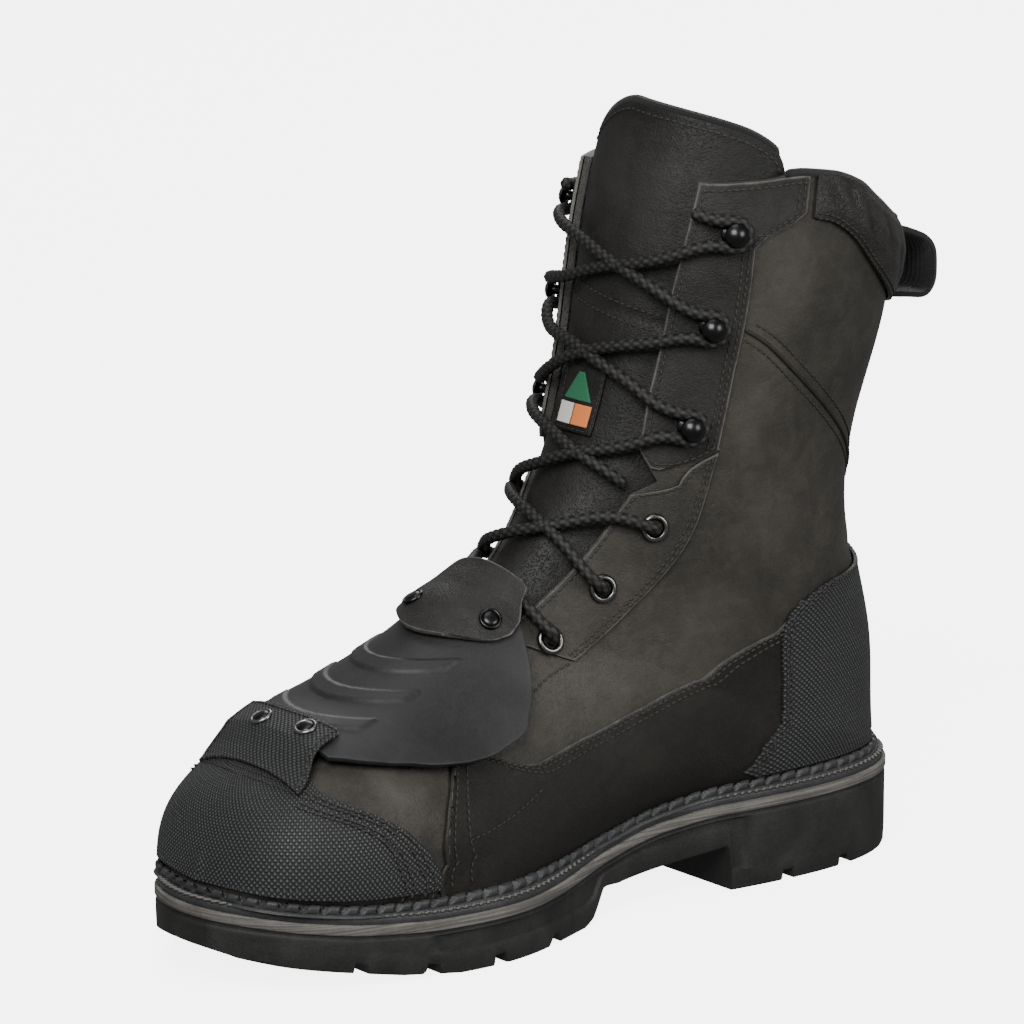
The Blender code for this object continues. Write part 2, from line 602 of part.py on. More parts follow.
def upper_side(side):
    """Grid of one side: columns from the throat's edge to the back or the lower edge."""
    rows = np.array(SHAFT_ROWS + FOOT_ROWS)
    girth = columns_from(between(THROAT, warped(rows, 0.22)))
    row = warped(rows[:, None], girth)
    return skin(side, row, girth)


def upper(look, home):
    """One hollow shell, open at the collar, the throat and underneath."""
    medial, lateral = upper_side(1), upper_side(-1)[:, ::-1]
    rows, columns = medial.shape[:2]
    points = np.concatenate([medial.reshape(-1, 3), lateral.reshape(-1, 3)])
    faces = grid_faces(rows, columns) + grid_faces(rows, columns, rows * columns)
    made = add("upper", mesh_from("upper", points, faces, join=0.15), look, home)
    return thicken(made, LEATHER)


def toe_cap(look, home):
    """Cap over the toe, down to the welt's lip on both sides."""
    rows = np.array((0.0,) + FOOT_ROWS[-7:])
    halves = []
    for side in (1, -1):
        girth = np.array((0.0, 0.1, 0.2, 0.3) + COLUMNS)
        row = np.maximum(rows[:, None], between(CAP_REAR, girth)[None, :])
        low = low_edge(side, row[:, -1], LIP_HEIGHT + LIP_CLEAR)
        turn = np.minimum(np.broadcast_to(girth, row.shape), low[:, None])
        points = face(side * turn, row, OVERLAY_GAP + OVERLAY)
        halves.append(points if side > 0 else points[:, ::-1])
    return paired("toe_cap", halves[1], halves[0], look, home)


def heel_counter(look, home):
    """Counter round the heel, from its slanted front edges to the back, down to the welt's lip."""
    rows = np.array([6.6, 6.7, 6.88, 7.25, 7.9, 8.6, 9.3, 9.8, 10.0, 10.35, 10.8, 11.4, 12.0, 12.7, 13.1])
    halves = []
    for side in (1, -1):
        low = low_edge(side, rows, LIP_HEIGHT + LIP_CLEAR)
        front = np.minimum(between(COUNTER_FRONT, rows), low - 0.03)
        turn = np.concatenate([front[:, None], np.clip(COLUMNS[2:], front[:, None], low[:, None])], axis=1)
        turn[:, -1] = low
        points = face(side * turn, rows[:, None], COUNTER_GAP + OVERLAY)
        halves.append(points if side > 0 else points[:, ::-1])
    return paired("heel_counter", halves[0], halves[1], look, home)


def paired(name, first, second, look, home):
    """Shell of two grids that meet along a shared column."""
    rows, columns = first.shape[:2]
    points = np.concatenate([first.reshape(-1, 3), second.reshape(-1, 3)])
    faces = grid_faces(rows, columns) + grid_faces(rows, columns, rows * columns)
    made = add(name, mesh_from(name, points, faces, join=0.15), look, home)
    return thicken(made, OVERLAY)


def facing(side, look, home):
    """Hook facing of one side, from the collar to the notch."""
    rows = np.array([0.04, 0.45, 0.72, 1.0, 1.65, 2.3, 3.0, 3.75, 4.5, 5.0, 5.58])
    front = between(THROAT, warped(rows, 0.22)) + 0.004
    rear = between(FACING_REAR, warped(rows, 0.4))
    girth = np.minimum(columns_from(front)[:, :6], rear[:, None])
    row = warped(rows[:, None], girth)
    row[-1] = between(FACING_FOOT, girth[-1])
    row[-2] = np.minimum(row[-2], row[-1] - 0.15)
    points = face(side * girth, row, OVERLAY_GAP + OVERLAY)
    if side < 0:
        points = points[:, ::-1]
    name = "hook_facing_medial" if side > 0 else "hook_facing_lateral"
    return shell(name, points, OVERLAY, look, home)


def eyestay(side, look, home):
    """Eyelet stay of one side, from the notch down to the vamp under the guard."""
    share = np.linspace(0.0, 1.0, 4)[None, :]
    rows = np.array([5.16, 5.8, 6.12, 6.6, 7.25, 7.9, 8.6, 9.3, 10.0, 10.35, 10.8, 11.2])
    row = np.maximum(rows[:, None], between(STAY_TOP, share))
    front = between(THROAT, row) + 0.004
    girth = front + (between(STAY_REAR, row) - front) * share
    points = face(side * girth, row, OVERLAY_GAP + OVERLAY)
    if side < 0:
        points = points[:, ::-1]
    name = "eyestay_medial" if side > 0 else "eyestay_lateral"
    return shell(name, points, OVERLAY, look, home, join=0.15)


def collar_pad(look, home):
    """Padded collar round the back, swelling between its seam and its bound edge."""
    turns = np.concatenate([np.linspace(0.475, 1.0, 9), 2.0 - np.linspace(0.475, 1.0, 9)[-2::-1]])
    girth = np.where(turns > 1.0, 2.0 - turns, turns)
    share = np.array([0.0, 0.12, 0.4, 0.7, 0.92, 1.0])[:, None]
    start = between(COLLAR, girth) - 0.02
    row = start[None, :] * (1.0 - share) + between(PAD_SEAM, girth)[None, :] * share
    swell = np.array([1.6, 3.6, 5.2, 4.6, 2.6, 1.6])[:, None] - 1.6
    full = np.clip((girth - 0.475) / 0.12, 0.0, 1.0)[None, :]
    outer = face(turns[None, :], row, 1.7 + swell * full)
    inner = face(turns[None, :], row, OVERLAY_GAP)
    return block("collar_pad", outer, inner, look, home)


def block(name, outer, inner, look, home):
    """Closed solid between two grids of equal size, the outer one facing out."""
    rows, columns = outer.shape[:2]
    count = rows * columns
    faces = grid_faces(rows, columns) + [tuple(reversed(f)) for f in grid_faces(rows, columns, count)]
    rim = ([(i, 0) for i in range(rows)] + [(rows - 1, j) for j in range(1, columns)]
           + [(i, columns - 1) for i in range(rows - 2, -1, -1)] + [(0, j) for j in range(columns - 2, 0, -1)])
    edge = [i * columns + j for i, j in rim]
    for a, b in zip(edge, edge[1:] + edge[:1]):
        faces.append((b, a, a + count, b + count))
    points = np.concatenate([outer.reshape(-1, 3), inner.reshape(-1, 3)])
    return add(name, mesh_from(name, points, faces), look, home)


def tongue_lift(turn, row):
    """Outer face of the tongue: tucked under the facings, swelling between them."""
    side = np.abs(turn) / (between(THROAT, row) * 0.9 + 0.001)
    swell = 1.9 * np.clip(1.0 - side ** 2, 0.0, 1.0) * np.interp(row, (0.0, 7.5, 9.0), (1.0, 1.0, 0.0))
    return -(LEATHER + 1.0) + swell - np.interp(row, (9.3, 10.4), (0.0, 0.8))


def tongue(look, home):
    share = np.linspace(-1.0, 1.0, 11)[None, :]
    rows = np.array([0.0, 0.9, 2.1, 3.3, 4.5, 5.5, 6.4, 7.3, 8.3, 9.3, 10.4, 11.6])[:, None]
    turn = between(TONGUE_SIDE, rows) * share
    start = between(TONGUE_TOP, np.abs(turn))
    row = rows + start * np.clip((0.9 - rows) / 0.9, 0.0, 1.0)
    lift = tongue_lift(turn, row)
    return block("tongue", face(turn, row, lift), face(turn, row, lift - TONGUE_THICK), look, home)


def guard_lift(turn, row):
    """Inner face of the guard: clear of the vamp, standing off it toward the side edges."""
    side = np.abs(turn) / between(GUARD_SIDE, row)
    return 2.9 + 2.8 * side ** 2 * np.interp(row, (15.6, 16.4), (1.0, 0.2))


def guard_plate(look, home):
    rows = np.array([9.95, 10.5, 11.3, 12.4, 13.4, 14.1, 14.6, 15.0, 15.5, 16.1, 16.7, 17.25])[:, None]
    turn = between(GUARD_SIDE, rows) * np.linspace(-1.0, 1.0, 11)[None, :]
    lift = guard_lift(turn, rows)
    return block("guard_plate", face(turn, rows, lift + GUARD_THICK), face(turn, rows, lift), look, home)


def top_flap_lift(row):
    """Inner face of the hinge flap, over the guard."""
    return between(FLAP_LIFT, row)


def top_flap(look, home):
    rows = np.array([9.0, 9.2, 9.8, 10.4, 11.0, 11.5, 11.9, 12.1])[:, None]
    share = np.linspace(-1.0, 1.0, 9)[None, :]
    turn = FLAP_MIDDLE + (between(FLAP_SIDE, rows) - FLAP_MIDDLE) * share
    row = rows + FLAP_BOW * (1.0 - share ** 2) * np.interp(rows, (9.0, 9.9, 11.0, 12.1), (0.6, 0.0, 0.0, 1.0))
    lift = top_flap_lift(row)
    return block("top_flap", face(turn, row, lift + FLAP_THICK), face(turn, row, lift), look, home)


def toe_flap_lift(turn, row):
    """Inner face of the toe flap: on the toe cap at its seam, over the guard's front at its rear."""
    return np.interp(row, (16.68, 17.35, 17.75, 18.1), (6.4, 6.1, 3.6, 2.2)) + 3.0 * np.abs(turn)


def toe_flap(look, home):
    rows = np.array([16.69, 16.8, 17.05, 17.35, 17.75, 18.08])[:, None]
    turn = between(TOE_FLAP_SIDE, rows) * np.linspace(-1.0, 1.0, 9)[None, :]
    lift = toe_flap_lift(turn, rows)
    return block("toe_flap", face(turn, rows, lift + 1.4), face(turn, rows, lift), look, home)


def turned(name, profile, steps, look, home, place):
    """Turned piece: profile (radius, height) in mm from the bottom up its outer side, screwed round."""
    mesh = bpy.data.meshes.new(name)
    mesh.from_pydata([(r * MM, 0.0, h * MM) for r, h in profile], [], [(i, i + 1) for i in range(len(profile) - 1)])
    made = add(name, mesh, look, home)
    screw = made.modifiers.new("turn", "SCREW")
    screw.steps = screw.render_steps = steps
    screw.use_merge_vertices = True
    screw.merge_threshold = 0.00001
    screw.use_smooth_shade = True
    made.matrix_world = place
    return made


RIVET = ((0.0, 0.0), (3.5, 0.0), (3.4, 0.35), (2.3, 0.95), (0.0, 1.15))
HOOK = ((0.0, 0.0), (4.0, 0.0), (3.8, 0.7), (1.7, 0.9), (1.9, 6.3), (4.6, 6.6), (4.4, 7.5), (2.6, 8.6), (0.0, 9.0))
EYELET = ((3.0, 0.15), (5.1, 0.15), (5.0, 0.7), (4.3, 1.3), (3.3, 1.1), (3.0, 0.15))


def rivets(look, home):
    for place, row, turn in GUARD_RIVETS:
        lift = float(top_flap_lift(row)) + FLAP_THICK + 0.75
        turned(f"guard_rivet_{place}", RIVET, 12, look, home, frame_at(turn, row, lift))
    for place, row, turn in TOE_RIVETS:
        lift = float(toe_flap_lift(turn, row)) + 1.4 + 0.45
        turned(f"toe_rivet_{place}", RIVET, 12, look, home, frame_at(turn, row, lift))


def hardware(hook_look, eyelet_look, home):
    lift = HARDWARE_LIFT
    for side, where in ((1, "medial"), (-1, "lateral")):
        for place, row, girth in HOOKS:
            turned(f"hook_{place}_{where}", HOOK, 8, hook_look, home, frame_at(side * girth, row, lift))
        for place, row, girth in EYELETS:
            turned(f"eyelet_{place}_{where}", EYELET, 10, eyelet_look, home,
                   frame_at(side * girth, row, lift + GAP))


PAD_BOW = 1.2           # how far the collar pad falls away beside its middle, at the loop's edges


def pull_loop(look, home):
    """Webbing loop behind the collar: a band 25 mm wide, bent into a C on its side."""
    path = ((1.0, 226.0), (-4.0, 225.5), (-10.0, 223.5), (-17.0, 220.0), (-20.3, 216.0), (-21.3, 209.0),
            (-20.3, 202.0), (-17.0, 198.6), (-10.0, 198.6), (-3.0, 199.6), (2.6, 200.4))
    width = np.linspace(-12.5, 12.5, 3)
    points = np.array([[(x, y, z) for y in width] for x, z in path])
    points[0, (0, 2), 0] += PAD_BOW
    points[-1, (0, 2), 0] += PAD_BOW
    return shell("pull_loop", points[:, ::-1], 2.0, look, home)


def tongue_label(look, home):
    rows = np.linspace(4.2, 5.2, 4)[:, None]
    turn = np.linspace(-0.055, 0.075, 4)[None, :]
    lift = tongue_lift(turn, rows) + 0.6
    return block("tongue_label", face(turn, rows, lift + 0.8), face(turn, rows, lift), look, home)


# Lace, from the top down: a hook's name and side, or a point's name, turn, row and lift.
LACE_RUNS = (
    ("first", (
        ("edge", 0.225, 1.38, 4.6), ("hook", "top", 1), ("fall", 0.20, 2.22, 4.2), ("cross", 0.12, 2.46, 2.8),
        ("ridge", 0.02, 2.64, 2.4), ("far", -0.09, 2.88, 3.0), ("rise", -0.195, 3.00, 5.4), ("hook", "middle", -1),
        ("fall", -0.17, 3.68, 4.2), ("cross", -0.02, 3.84, 2.4), ("ridge", 0.07, 4.02, 2.5),
        ("near", 0.17, 4.30, 3.2), ("rise", 0.215, 4.48, 4.4), ("hook", "low", 1), ("fall", 0.19, 5.26, 3.6),
        ("cross", 0.07, 5.60, 2.6), ("ridge", -0.03, 5.92, 2.5), ("far", -0.13, 6.20, 3.2), ("end", -0.20, 6.45, 4.4),
    )),
    ("second", (
        ("edge", -0.225, 1.38, 4.6), ("hook", "top", -1), ("fall", -0.17, 2.06, 4.4), ("cross", -0.07, 2.22, 2.6),
        ("ridge", 0.035, 2.45, 2.5), ("near", 0.14, 2.70, 3.2), ("rise", 0.205, 2.90, 5.0), ("hook", "middle", 1),
        ("fall", 0.20, 3.56, 3.9), ("cross", 0.12, 3.72, 2.8), ("ridge", 0.02, 3.92, 2.4), ("far", -0.10, 4.25, 2.8),
        ("rise", -0.21, 4.55, 4.4), ("hook", "low", -1), ("fall", -0.17, 5.08, 4.5), ("cross", -0.05, 5.28, 2.5),
        ("ridge", 0.04, 5.48, 2.5), ("near", 0.12, 5.68, 2.5), ("end", 0.17, 5.82, 2.2),
    )),
    ("ankle", (
        ("eyelet", 0.262, 6.66, 6.3), ("edge", 0.20, 6.68, 5.0), ("near", 0.13, 7.02, 3.2), ("ridge", 0.03, 7.50, 2.6),
        ("far", -0.08, 7.92, 3.0), ("edge", -0.17, 8.18, 4.9), ("end", -0.215, 8.32, 6.3),
    )),
    ("lower", (
        ("eyelet", 0.205, 10.48, 7.2), ("edge", 0.180, 9.98, 5.8), ("near", 0.143, 9.58, 4.4), ("ridge", 0.04, 9.28, 3.2),
        ("far", -0.09, 8.92, 3.6), ("edge", -0.165, 8.60, 5.2), ("end", -0.207, 8.38, 6.3),
    )),
    ("instep", (
        ("eyelet", -0.262, 6.66, 6.3), ("edge", -0.20, 6.68, 5.0), ("far", -0.10, 6.80, 3.2), ("ridge", 0.0, 7.02, 2.6),
        ("cross", 0.07, 7.24, 2.8), ("near", 0.15, 7.66, 4.2), ("edge", 0.19, 8.00, 5.1), ("end", 0.218, 8.22, 6.3),
    )),
)
ROUND_HOOK = ((-0.95, -0.9), (-0.86, 0.56), (0.0, 1.05), (0.86, 0.56), (0.95, -0.9))
HOOK_TURN = 4.7         # lace's centre line round a hook's stem
HOOK_RISE = 3.9         # and its height over the hook's foot


def lace_path(run):
    """Centre line of a run: free points on the upper's face, and arcs round the hooks' stems."""
    rows = {name: (row, girth) for name, row, girth in HOOKS}
    path = []
    for item in run:
        if item[0] != "hook":
            path.append(Vector(placed(face(*item[1:]))))
            continue
        row, girth = rows[item[1]]
        foot = frame_at(item[2] * girth, row, HARDWARE_LIFT)
        for down, back in ROUND_HOOK:
            x, y = down * HOOK_TURN * MM, back * HOOK_TURN * item[2] * MM
            path.append(foot @ Vector((x, y, HOOK_RISE * MM)))
    return path


def lace(look, home):
    """Round lace, its runs welded into one solid where they cross."""
    bodies = []
    for name, run in LACE_RUNS:
        path = lace_path(run)
        curve = bpy.data.curves.new(name, "CURVE")
        curve.dimensions = "3D"
        curve.bevel_depth = LACE_RADIUS * MM
        curve.bevel_resolution = 1
        curve.use_fill_caps = True
        thread = curve.splines.new("POLY")
        thread.points.add(len(path) - 1)
        for point, where in zip(thread.points, path):
            point.co = (*where, 1.0)
        wire = bpy.data.objects.new(name, curve)
        home.objects.link(wire)
        bpy.context.view_layer.update()
        mesh = bpy.data.meshes.new_from_object(wire.evaluated_get(bpy.context.evaluated_depsgraph_get()))
        bpy.data.objects.remove(wire)
        work = bmesh.new()
        work.from_mesh(mesh)
        bmesh.ops.remove_doubles(work, verts=work.verts, dist=0.00001)
        work.to_mesh(mesh)
        work.free()
        bodies.append(mesh)
    return bodies


def build():
    for old in list(bpy.data.objects):
        bpy.data.objects.remove(old)
    boot = collection("metatarsal_guard_boot")
    tools = collection("cutters")
    leather = material("worn black leather", (0.060, 0.055, 0.050), 0.55)
    facing_leather = material("facing leather", (0.045, 0.043, 0.042), 0.55)
    pad_leather = material("collar leather", (0.050, 0.048, 0.046), 0.5)
    weave = material("rubberised weave", (0.055, 0.057, 0.058), 0.6)
    rubber = material("outsole rubber", (0.060, 0.060, 0.062), 0.75)
    grey = material("midsole rubber", (0.28, 0.27, 0.25), 0.7)
    welt_rubber = material("welt rubber", (0.040, 0.040, 0.041), 0.6)
    sheet = material("guard polymer", (0.085, 0.085, 0.088), 0.5)
    textile = material("webbing", (0.020, 0.020, 0.021), 0.85)
    cord = material("lace cord", (0.035, 0.035, 0.035), 0.8)
    steel = material("gunmetal", (0.30, 0.29, 0.28), 0.35, 1.0)
    nickel = material("nickel", (0.55, 0.53, 0.50), 0.3, 1.0)
    lining = material("insole board", (0.10, 0.09, 0.08), 0.9)
    label = material("label", (0.05, 0.22, 0.12), 0.7)

    outsole(rubber, boot, tools)
    midsole(grey, boot)
    storm_welt(welt_rubber, boot)
    insole(lining, boot)
    upper(leather, boot)
    toe_cap(weave, boot)
    heel_counter(weave, boot)
    for side in (1, -1):
        facing(side, facing_leather, boot)
        eyestay(side, leather, boot)
    collar_pad(pad_leather, boot)
    tongue(facing_leather, boot)
    tongue_label(label, boot)
    guard_plate(sheet, boot)
    top_flap(leather, boot)
    toe_flap(weave, boot)
    rivets(steel, boot)
    hardware(steel, nickel, boot)
    pull_loop(textile, boot)
    first, *others = lace(cord, boot)
    made = add("lace", first, cord, boot)
    for mesh in others:
        other = add(f"{mesh.name} run", mesh, None, tools)
        other.hide_render = True
        other.display_type = "WIRE"
        cut(made, other, "UNION")


build()
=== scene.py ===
"""Looks of the metatarsal guard boot: fine meshes, finishes, stitching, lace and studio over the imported
frame. Tables are in millimetres from the back of the heel, as in the part's source; meshes are placed in
metres in the part's frame."""
from __future__ import annotations

import logging
from collections.abc import Callable, Sequence
from dataclasses import dataclass, field
from enum import Enum
from math import cos, pi, sin
from typing import Any

import bmesh
import bpy
import numpy as np
from mathutils import Matrix, Vector

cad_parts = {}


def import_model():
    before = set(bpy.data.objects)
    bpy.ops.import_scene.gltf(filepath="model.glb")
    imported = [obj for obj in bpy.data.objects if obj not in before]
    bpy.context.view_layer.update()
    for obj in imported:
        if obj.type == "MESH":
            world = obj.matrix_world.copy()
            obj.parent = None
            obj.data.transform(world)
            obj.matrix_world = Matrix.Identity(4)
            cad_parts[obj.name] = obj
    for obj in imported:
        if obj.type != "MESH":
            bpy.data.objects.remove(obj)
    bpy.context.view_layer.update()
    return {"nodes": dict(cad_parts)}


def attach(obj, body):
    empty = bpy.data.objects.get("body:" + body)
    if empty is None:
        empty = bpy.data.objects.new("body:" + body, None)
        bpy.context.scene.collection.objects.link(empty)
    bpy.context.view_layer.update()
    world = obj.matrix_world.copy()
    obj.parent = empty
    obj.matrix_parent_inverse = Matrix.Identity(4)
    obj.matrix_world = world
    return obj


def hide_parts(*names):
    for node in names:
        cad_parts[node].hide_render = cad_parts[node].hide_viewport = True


log = logging.getLogger("boot")
Array = np.ndarray
Table = tuple[tuple[Any, ...], ...]
MM = 0.001
HEEL_BACK = -46.5


class Side(Enum):
    """Side of a right boot."""

    MEDIAL = 1
    LATERAL = -1


class Border(Enum):
    """Border of a grid of points."""

    TOP = "first row"
    FOOT = "last row"
    START = "first column"
    END = "last column"


# Curves.
def spline(stations: Sequence[float], rows: Array) -> Callable[[Array], Array]:
    """Natural cubic spline through rows of values.

    Args:
        stations: where the values are given.
        rows: one value or row of values for each station.

    Returns:
        Function of the station.
    """
    s, v = np.asarray(stations, float), np.asarray(rows, float)
    n, h = len(s), np.diff(s)
    system, right = np.zeros((n, n)), np.zeros(v.shape)
    system[0, 0] = system[-1, -1] = 1.0
    for i in range(1, n - 1):
        system[i, i - 1:i + 2] = h[i - 1], 2.0 * (h[i - 1] + h[i]), h[i]
        right[i] = 6.0 * ((v[i + 1] - v[i]) / h[i] - (v[i] - v[i - 1]) / h[i - 1])
    bend = np.linalg.solve(system, right)

    def at(x: Array) -> Array:
        """Value at the stations x."""
        x = np.clip(np.asarray(x, float), s[0], s[-1])
        i = np.clip(np.searchsorted(s, x) - 1, 0, n - 2)
        past, left, step = x - s[i], s[i + 1] - x, h[i]
        if v.ndim > 1:
            past, left, step = past[..., None], left[..., None], step[..., None]
        return ((bend[i] * left ** 3 + bend[i + 1] * past ** 3) / (6.0 * step)
                + (v[i] / step - bend[i] * step / 6.0) * left
                + (v[i + 1] / step - bend[i + 1] * step / 6.0) * past)
    return at


def steady(table: Table) -> Callable[[Array], Array]:
    """Monotone cubic through a table's last two columns.

    Args:
        table: rows whose last two values are a station and a value.

    Returns:
        Function of the station, which never swings past the values.
    """
    s = np.array([row[-2] for row in table], float)
    v = np.array([row[-1] for row in table], float)
    h = np.diff(s)
    d = np.diff(v) / h
    m = np.zeros_like(v)
    m[0], m[-1] = d[0], d[-1]
    for i in range(1, len(s) - 1):
        if d[i - 1] * d[i] > 0.0:
            w1, w2 = 2.0 * h[i] + h[i - 1], h[i] + 2.0 * h[i - 1]
            m[i] = (w1 + w2) / (w1 / d[i - 1] + w2 / d[i])

    def at(x: Array) -> Array:
        """Value at the stations x."""
        x = np.clip(np.asarray(x, float), s[0], s[-1])
        i = np.clip(np.searchsorted(s, x) - 1, 0, len(s) - 2)
        t, step = (x - s[i]) / h[i], h[i]
        return (v[i] * (2 * t ** 3 - 3 * t ** 2 + 1) + step * m[i] * (t ** 3 - 2 * t ** 2 + t)
                + v[i + 1] * (3 * t ** 2 - 2 * t ** 3) + step * m[i + 1] * (t ** 3 - t ** 2))
    return at


def between(table: Table, values: Array) -> Array:
    """Straight interpolation of a table's last column against the one before it."""
    return np.interp(values, [row[-2] for row in table], [row[-1] for row in table])


def eased(table: Table, width: float) -> Callable[[Array], Array]:
    """Straight interpolation of a table with its corners rounded.

    Args:
        table: rows whose last two values are a station and a value.
        width: reach of the rounding on each side, in stations.

    Returns:
        Function of the station.
    """
    steps = np.linspace(-1.0, 1.0, 9)
    weights = 1.0 - steps ** 2 * 0.8

    def at(x: Array) -> Array:
        """Value at the stations x."""
        x = np.asarray(x, float)
        return sum(w * between(table, x + width * k) for k, w in zip(steps, weights)) / weights.sum()
    return at


def ramp(x: Array, low: float, high: float) -> Array:
    """Smooth step from 0 at low to 1 at high."""
    t = np.clip((np.asarray(x, float) - low) / (high - low), 0.0, 1.0)
    return t * t * (3.0 - 2.0 * t)


def run_along(line: Array) -> Array:
    """Length from a line's first point to each of its points."""
    return np.concatenate([[0.0], np.linalg.norm(np.diff(line, axis=0), axis=1).cumsum()])


def outward(side: Side, rows: Array) -> Array:
    """Rows of a side's grid, turned round on the lateral side so that its faces look outward."""
    return rows if side is Side.MEDIAL else rows[:, ::-1]


def front_and_rear(side: Side) -> tuple[Border, Border]:
    """Border on the side of the boot's front, or top, and the one across from it."""
    return (Border.START, Border.END) if side is Side.MEDIAL else (Border.END, Border.START)


# The boot's form, from the same tables as the part's source.
LENGTH = 312.5
FEATHER_INSET, WELT_THICK = 7.0, 3.3
LEATHER, LIP_HEIGHT, LIP_CLEAR = 2.4, 6.4, 1.3
HEEL_ROW, TOE_ROW = 10, 20
OVERLAY_TOP = 1.6           # outer face of the sewn-on pieces over the upper
WOVEN_PITCH, WOVEN_THREAD = 2.5, 0.4            # stitches of the woven pieces
OVERLAY_FOOT = LIP_HEIGHT + LIP_CLEAR - 0.6     # their lower edge over the midsole's edge
OUTLINE = (
    (0.0, 0.0, 0.0), (10.0, 23.4, -23.8), (25.0, 33.0, -33.6), (45.0, 38.0, -38.5), (70.0, 39.2, -39.8),
    (95.0, 37.5, -40.4), (120.0, 34.7, -41.2), (145.0, 35.6, -43.6), (170.0, 44.0, -47.6),
    (195.0, 53.4, -52.2), (215.0, 56.2, -55.2), (235.0, 54.8, -55.6), (255.0, 51.8, -51.8),
    (275.0, 48.0, -43.6), (290.0, 41.6, -35.5), (303.5, 29.2, -22.5), (312.5, 5.5, 5.5),
)
TOP_LINE = ((0.0, 32.5), (60.0, 32.5), (95.0, 32.5), (120.0, 30.4), (150.0, 25.1), (180.0, 21.4),
            (205.0, 20.6), (235.0, 20.6), (260.0, 22.2), (285.0, 25.6), (312.0, 29.6))
SHAFT = (
    (112.0, 286.0, 3.0, 270.0, 0.0, 45.0, 45.0, 0.50, 2.3, 2.3),
    (119.5, 257.0, 4.5, 240.0, 0.0, 46.0, 46.0, 0.50, 2.3, 2.3),
    (123.5, 238.0, 6.0, 219.0, 0.0, 47.0, 47.0, 0.50, 2.3, 2.3),
    (128.0, 217.0, 8.5, 197.0, 0.0, 46.5, 46.5, 0.51, 2.25, 2.2),
    (133.0, 194.0, 16.5, 173.0, 0.0, 44.5, 44.5, 0.52, 2.2, 2.2),
    (139.0, 173.0, 22.5, 149.0, 0.0, 42.5, 42.5, 0.52, 2.2, 2.2),
    (147.0, 155.0, 22.5, 124.0, 0.0, 41.0, 41.0, 0.52, 2.15, 2.25),
    (156.0, 141.0, 17.0, 100.0, 0.0, 40.0, 40.0, 0.54, 2.1, 2.3),
    (166.0, 129.5, 10.5, 77.0, 0.0, 38.0, 38.5, 0.57, 2.1, 2.25),
    (176.0, 120.5, 8.8, 55.0, 0.0, 37.0, 37.5, 0.61, 2.1, 2.2),
)
FOOT = (
    (186.0, 113.5, 0.0, 36.5, 37.0, 0.66, 2.1, 2.1), (195.5, 109.5, 0.0, 36.5, 37.5, 0.69, 2.1, 2.1),
    (205.0, 105.0, 0.0, 36.5, 38.0, 0.70, 2.1, 2.1), (214.5, 100.0, 0.0, 36.5, 39.0, 0.70, 2.1, 2.2),
    (224.5, 94.5, 0.0, 38.0, 41.5, 0.70, 2.2, 2.3), (236.0, 89.0, 0.3, 42.0, 45.5, 0.72, 2.25, 2.6),
    (249.0, 83.5, 1.0, 47.5, 49.5, 0.75, 2.35, 2.8), (263.5, 79.0, 2.0, 47.0, 50.0, 0.76, 2.45, 3.0),
    (279.5, 71.0, 3.5, 43.5, 44.5, 0.76, 2.4, 3.0), (295.0, 59.5, 4.8, 28.5, 31.5, 0.76, 2.3, 3.0),
    (304.2, 41.0, 5.5, 0.05, 0.05, 0.76, 2.2, 3.0),
)
THROAT = ((0.0, 0.238), (1.35, 0.222), (2.85, 0.203), (4.48, 0.200), (5.30, 0.212), (5.80, 0.270),
          (6.12, 0.225), (6.60, 0.208), (7.93, 0.182), (9.25, 0.158), (10.4, 0.140), (11.4, 0.085),
          (12.0, 0.0))
COLLAR = ((0.0, 0.92), (0.238, 0.90), (0.345, 0.80), (0.448, 0.69), (0.515, 0.70), (0.588, 0.80),
          (0.65, 1.02), (0.75, 1.32), (1.0, 1.52))

top_line = steady(TOP_LINE)
_plan = spline(np.arccos(np.clip(1.0 - 2.0 * np.array([row[0] for row in OUTLINE]) / LENGTH, -1.0, 1.0)) / pi,
               np.array([row[1:] for row in OUTLINE]))


def even_stations(count: int) -> Array:
    """Stations at even steps of the plan's turn from heel to toe."""
    return LENGTH * (1.0 - np.cos(pi * np.linspace(0.0, 1.0, count + 1))) / 2.0


def plan_loop(inset: Array | float, stations: Array) -> Array:
    """Sole outline, inset from the midsole's edge.

    Args:
        inset: one value, or one for each point of the loop.
        stations: stations from the back of the heel.

    Returns:
        Closed loop from the back along the medial side to the toe and back along the lateral side.
    """
    x = np.asarray(stations, float)
    both = _plan(np.arccos(np.clip(1.0 - 2.0 * x / LENGTH, -1.0, 1.0)) / pi)
    loop = np.concatenate([np.c_[x, both[:, 0]], np.c_[x, both[:, 1]][-2:0:-1]])
    way = np.roll(loop, -1, 0) - np.roll(loop, 1, 0)
    way /= np.linalg.norm(way, axis=1)[:, None]
    return loop + np.reshape(inset, (-1, 1)) * np.c_[way[:, 1], -way[:, 0]]


def plan_half(inset: float) -> tuple[float, float, list[Array]]:
    """First and last station of an inset outline, and its medial and lateral halves."""
    loop = plan_loop(inset, even_stations(200))
    halves = []
    for part in (loop[:201], np.concatenate([loop[200:], loop[:1]])[::-1]):
        halves.append(part[np.argsort(part[:, 0], kind="stable")])
    return loop[:, 0].min(), loop[:, 0].max(), halves


FEATHER_BACK, FEATHER_TIP, FEATHER = plan_half(FEATHER_INSET)


def feather_line(x: Array) -> Array:
    """Height of the upper's lower edge."""
    return top_line(x) + WELT_THICK


_form = spline(np.arange(TOE_ROW + 1), np.array([row[0:2] + row[4:] for row in SHAFT] + list(FOOT)))
_back = spline(np.arange(HEEL_ROW + 1),
               np.array([row[2:4] for row in SHAFT] + [(FEATHER_BACK, float(feather_line(FEATHER_BACK)))]))


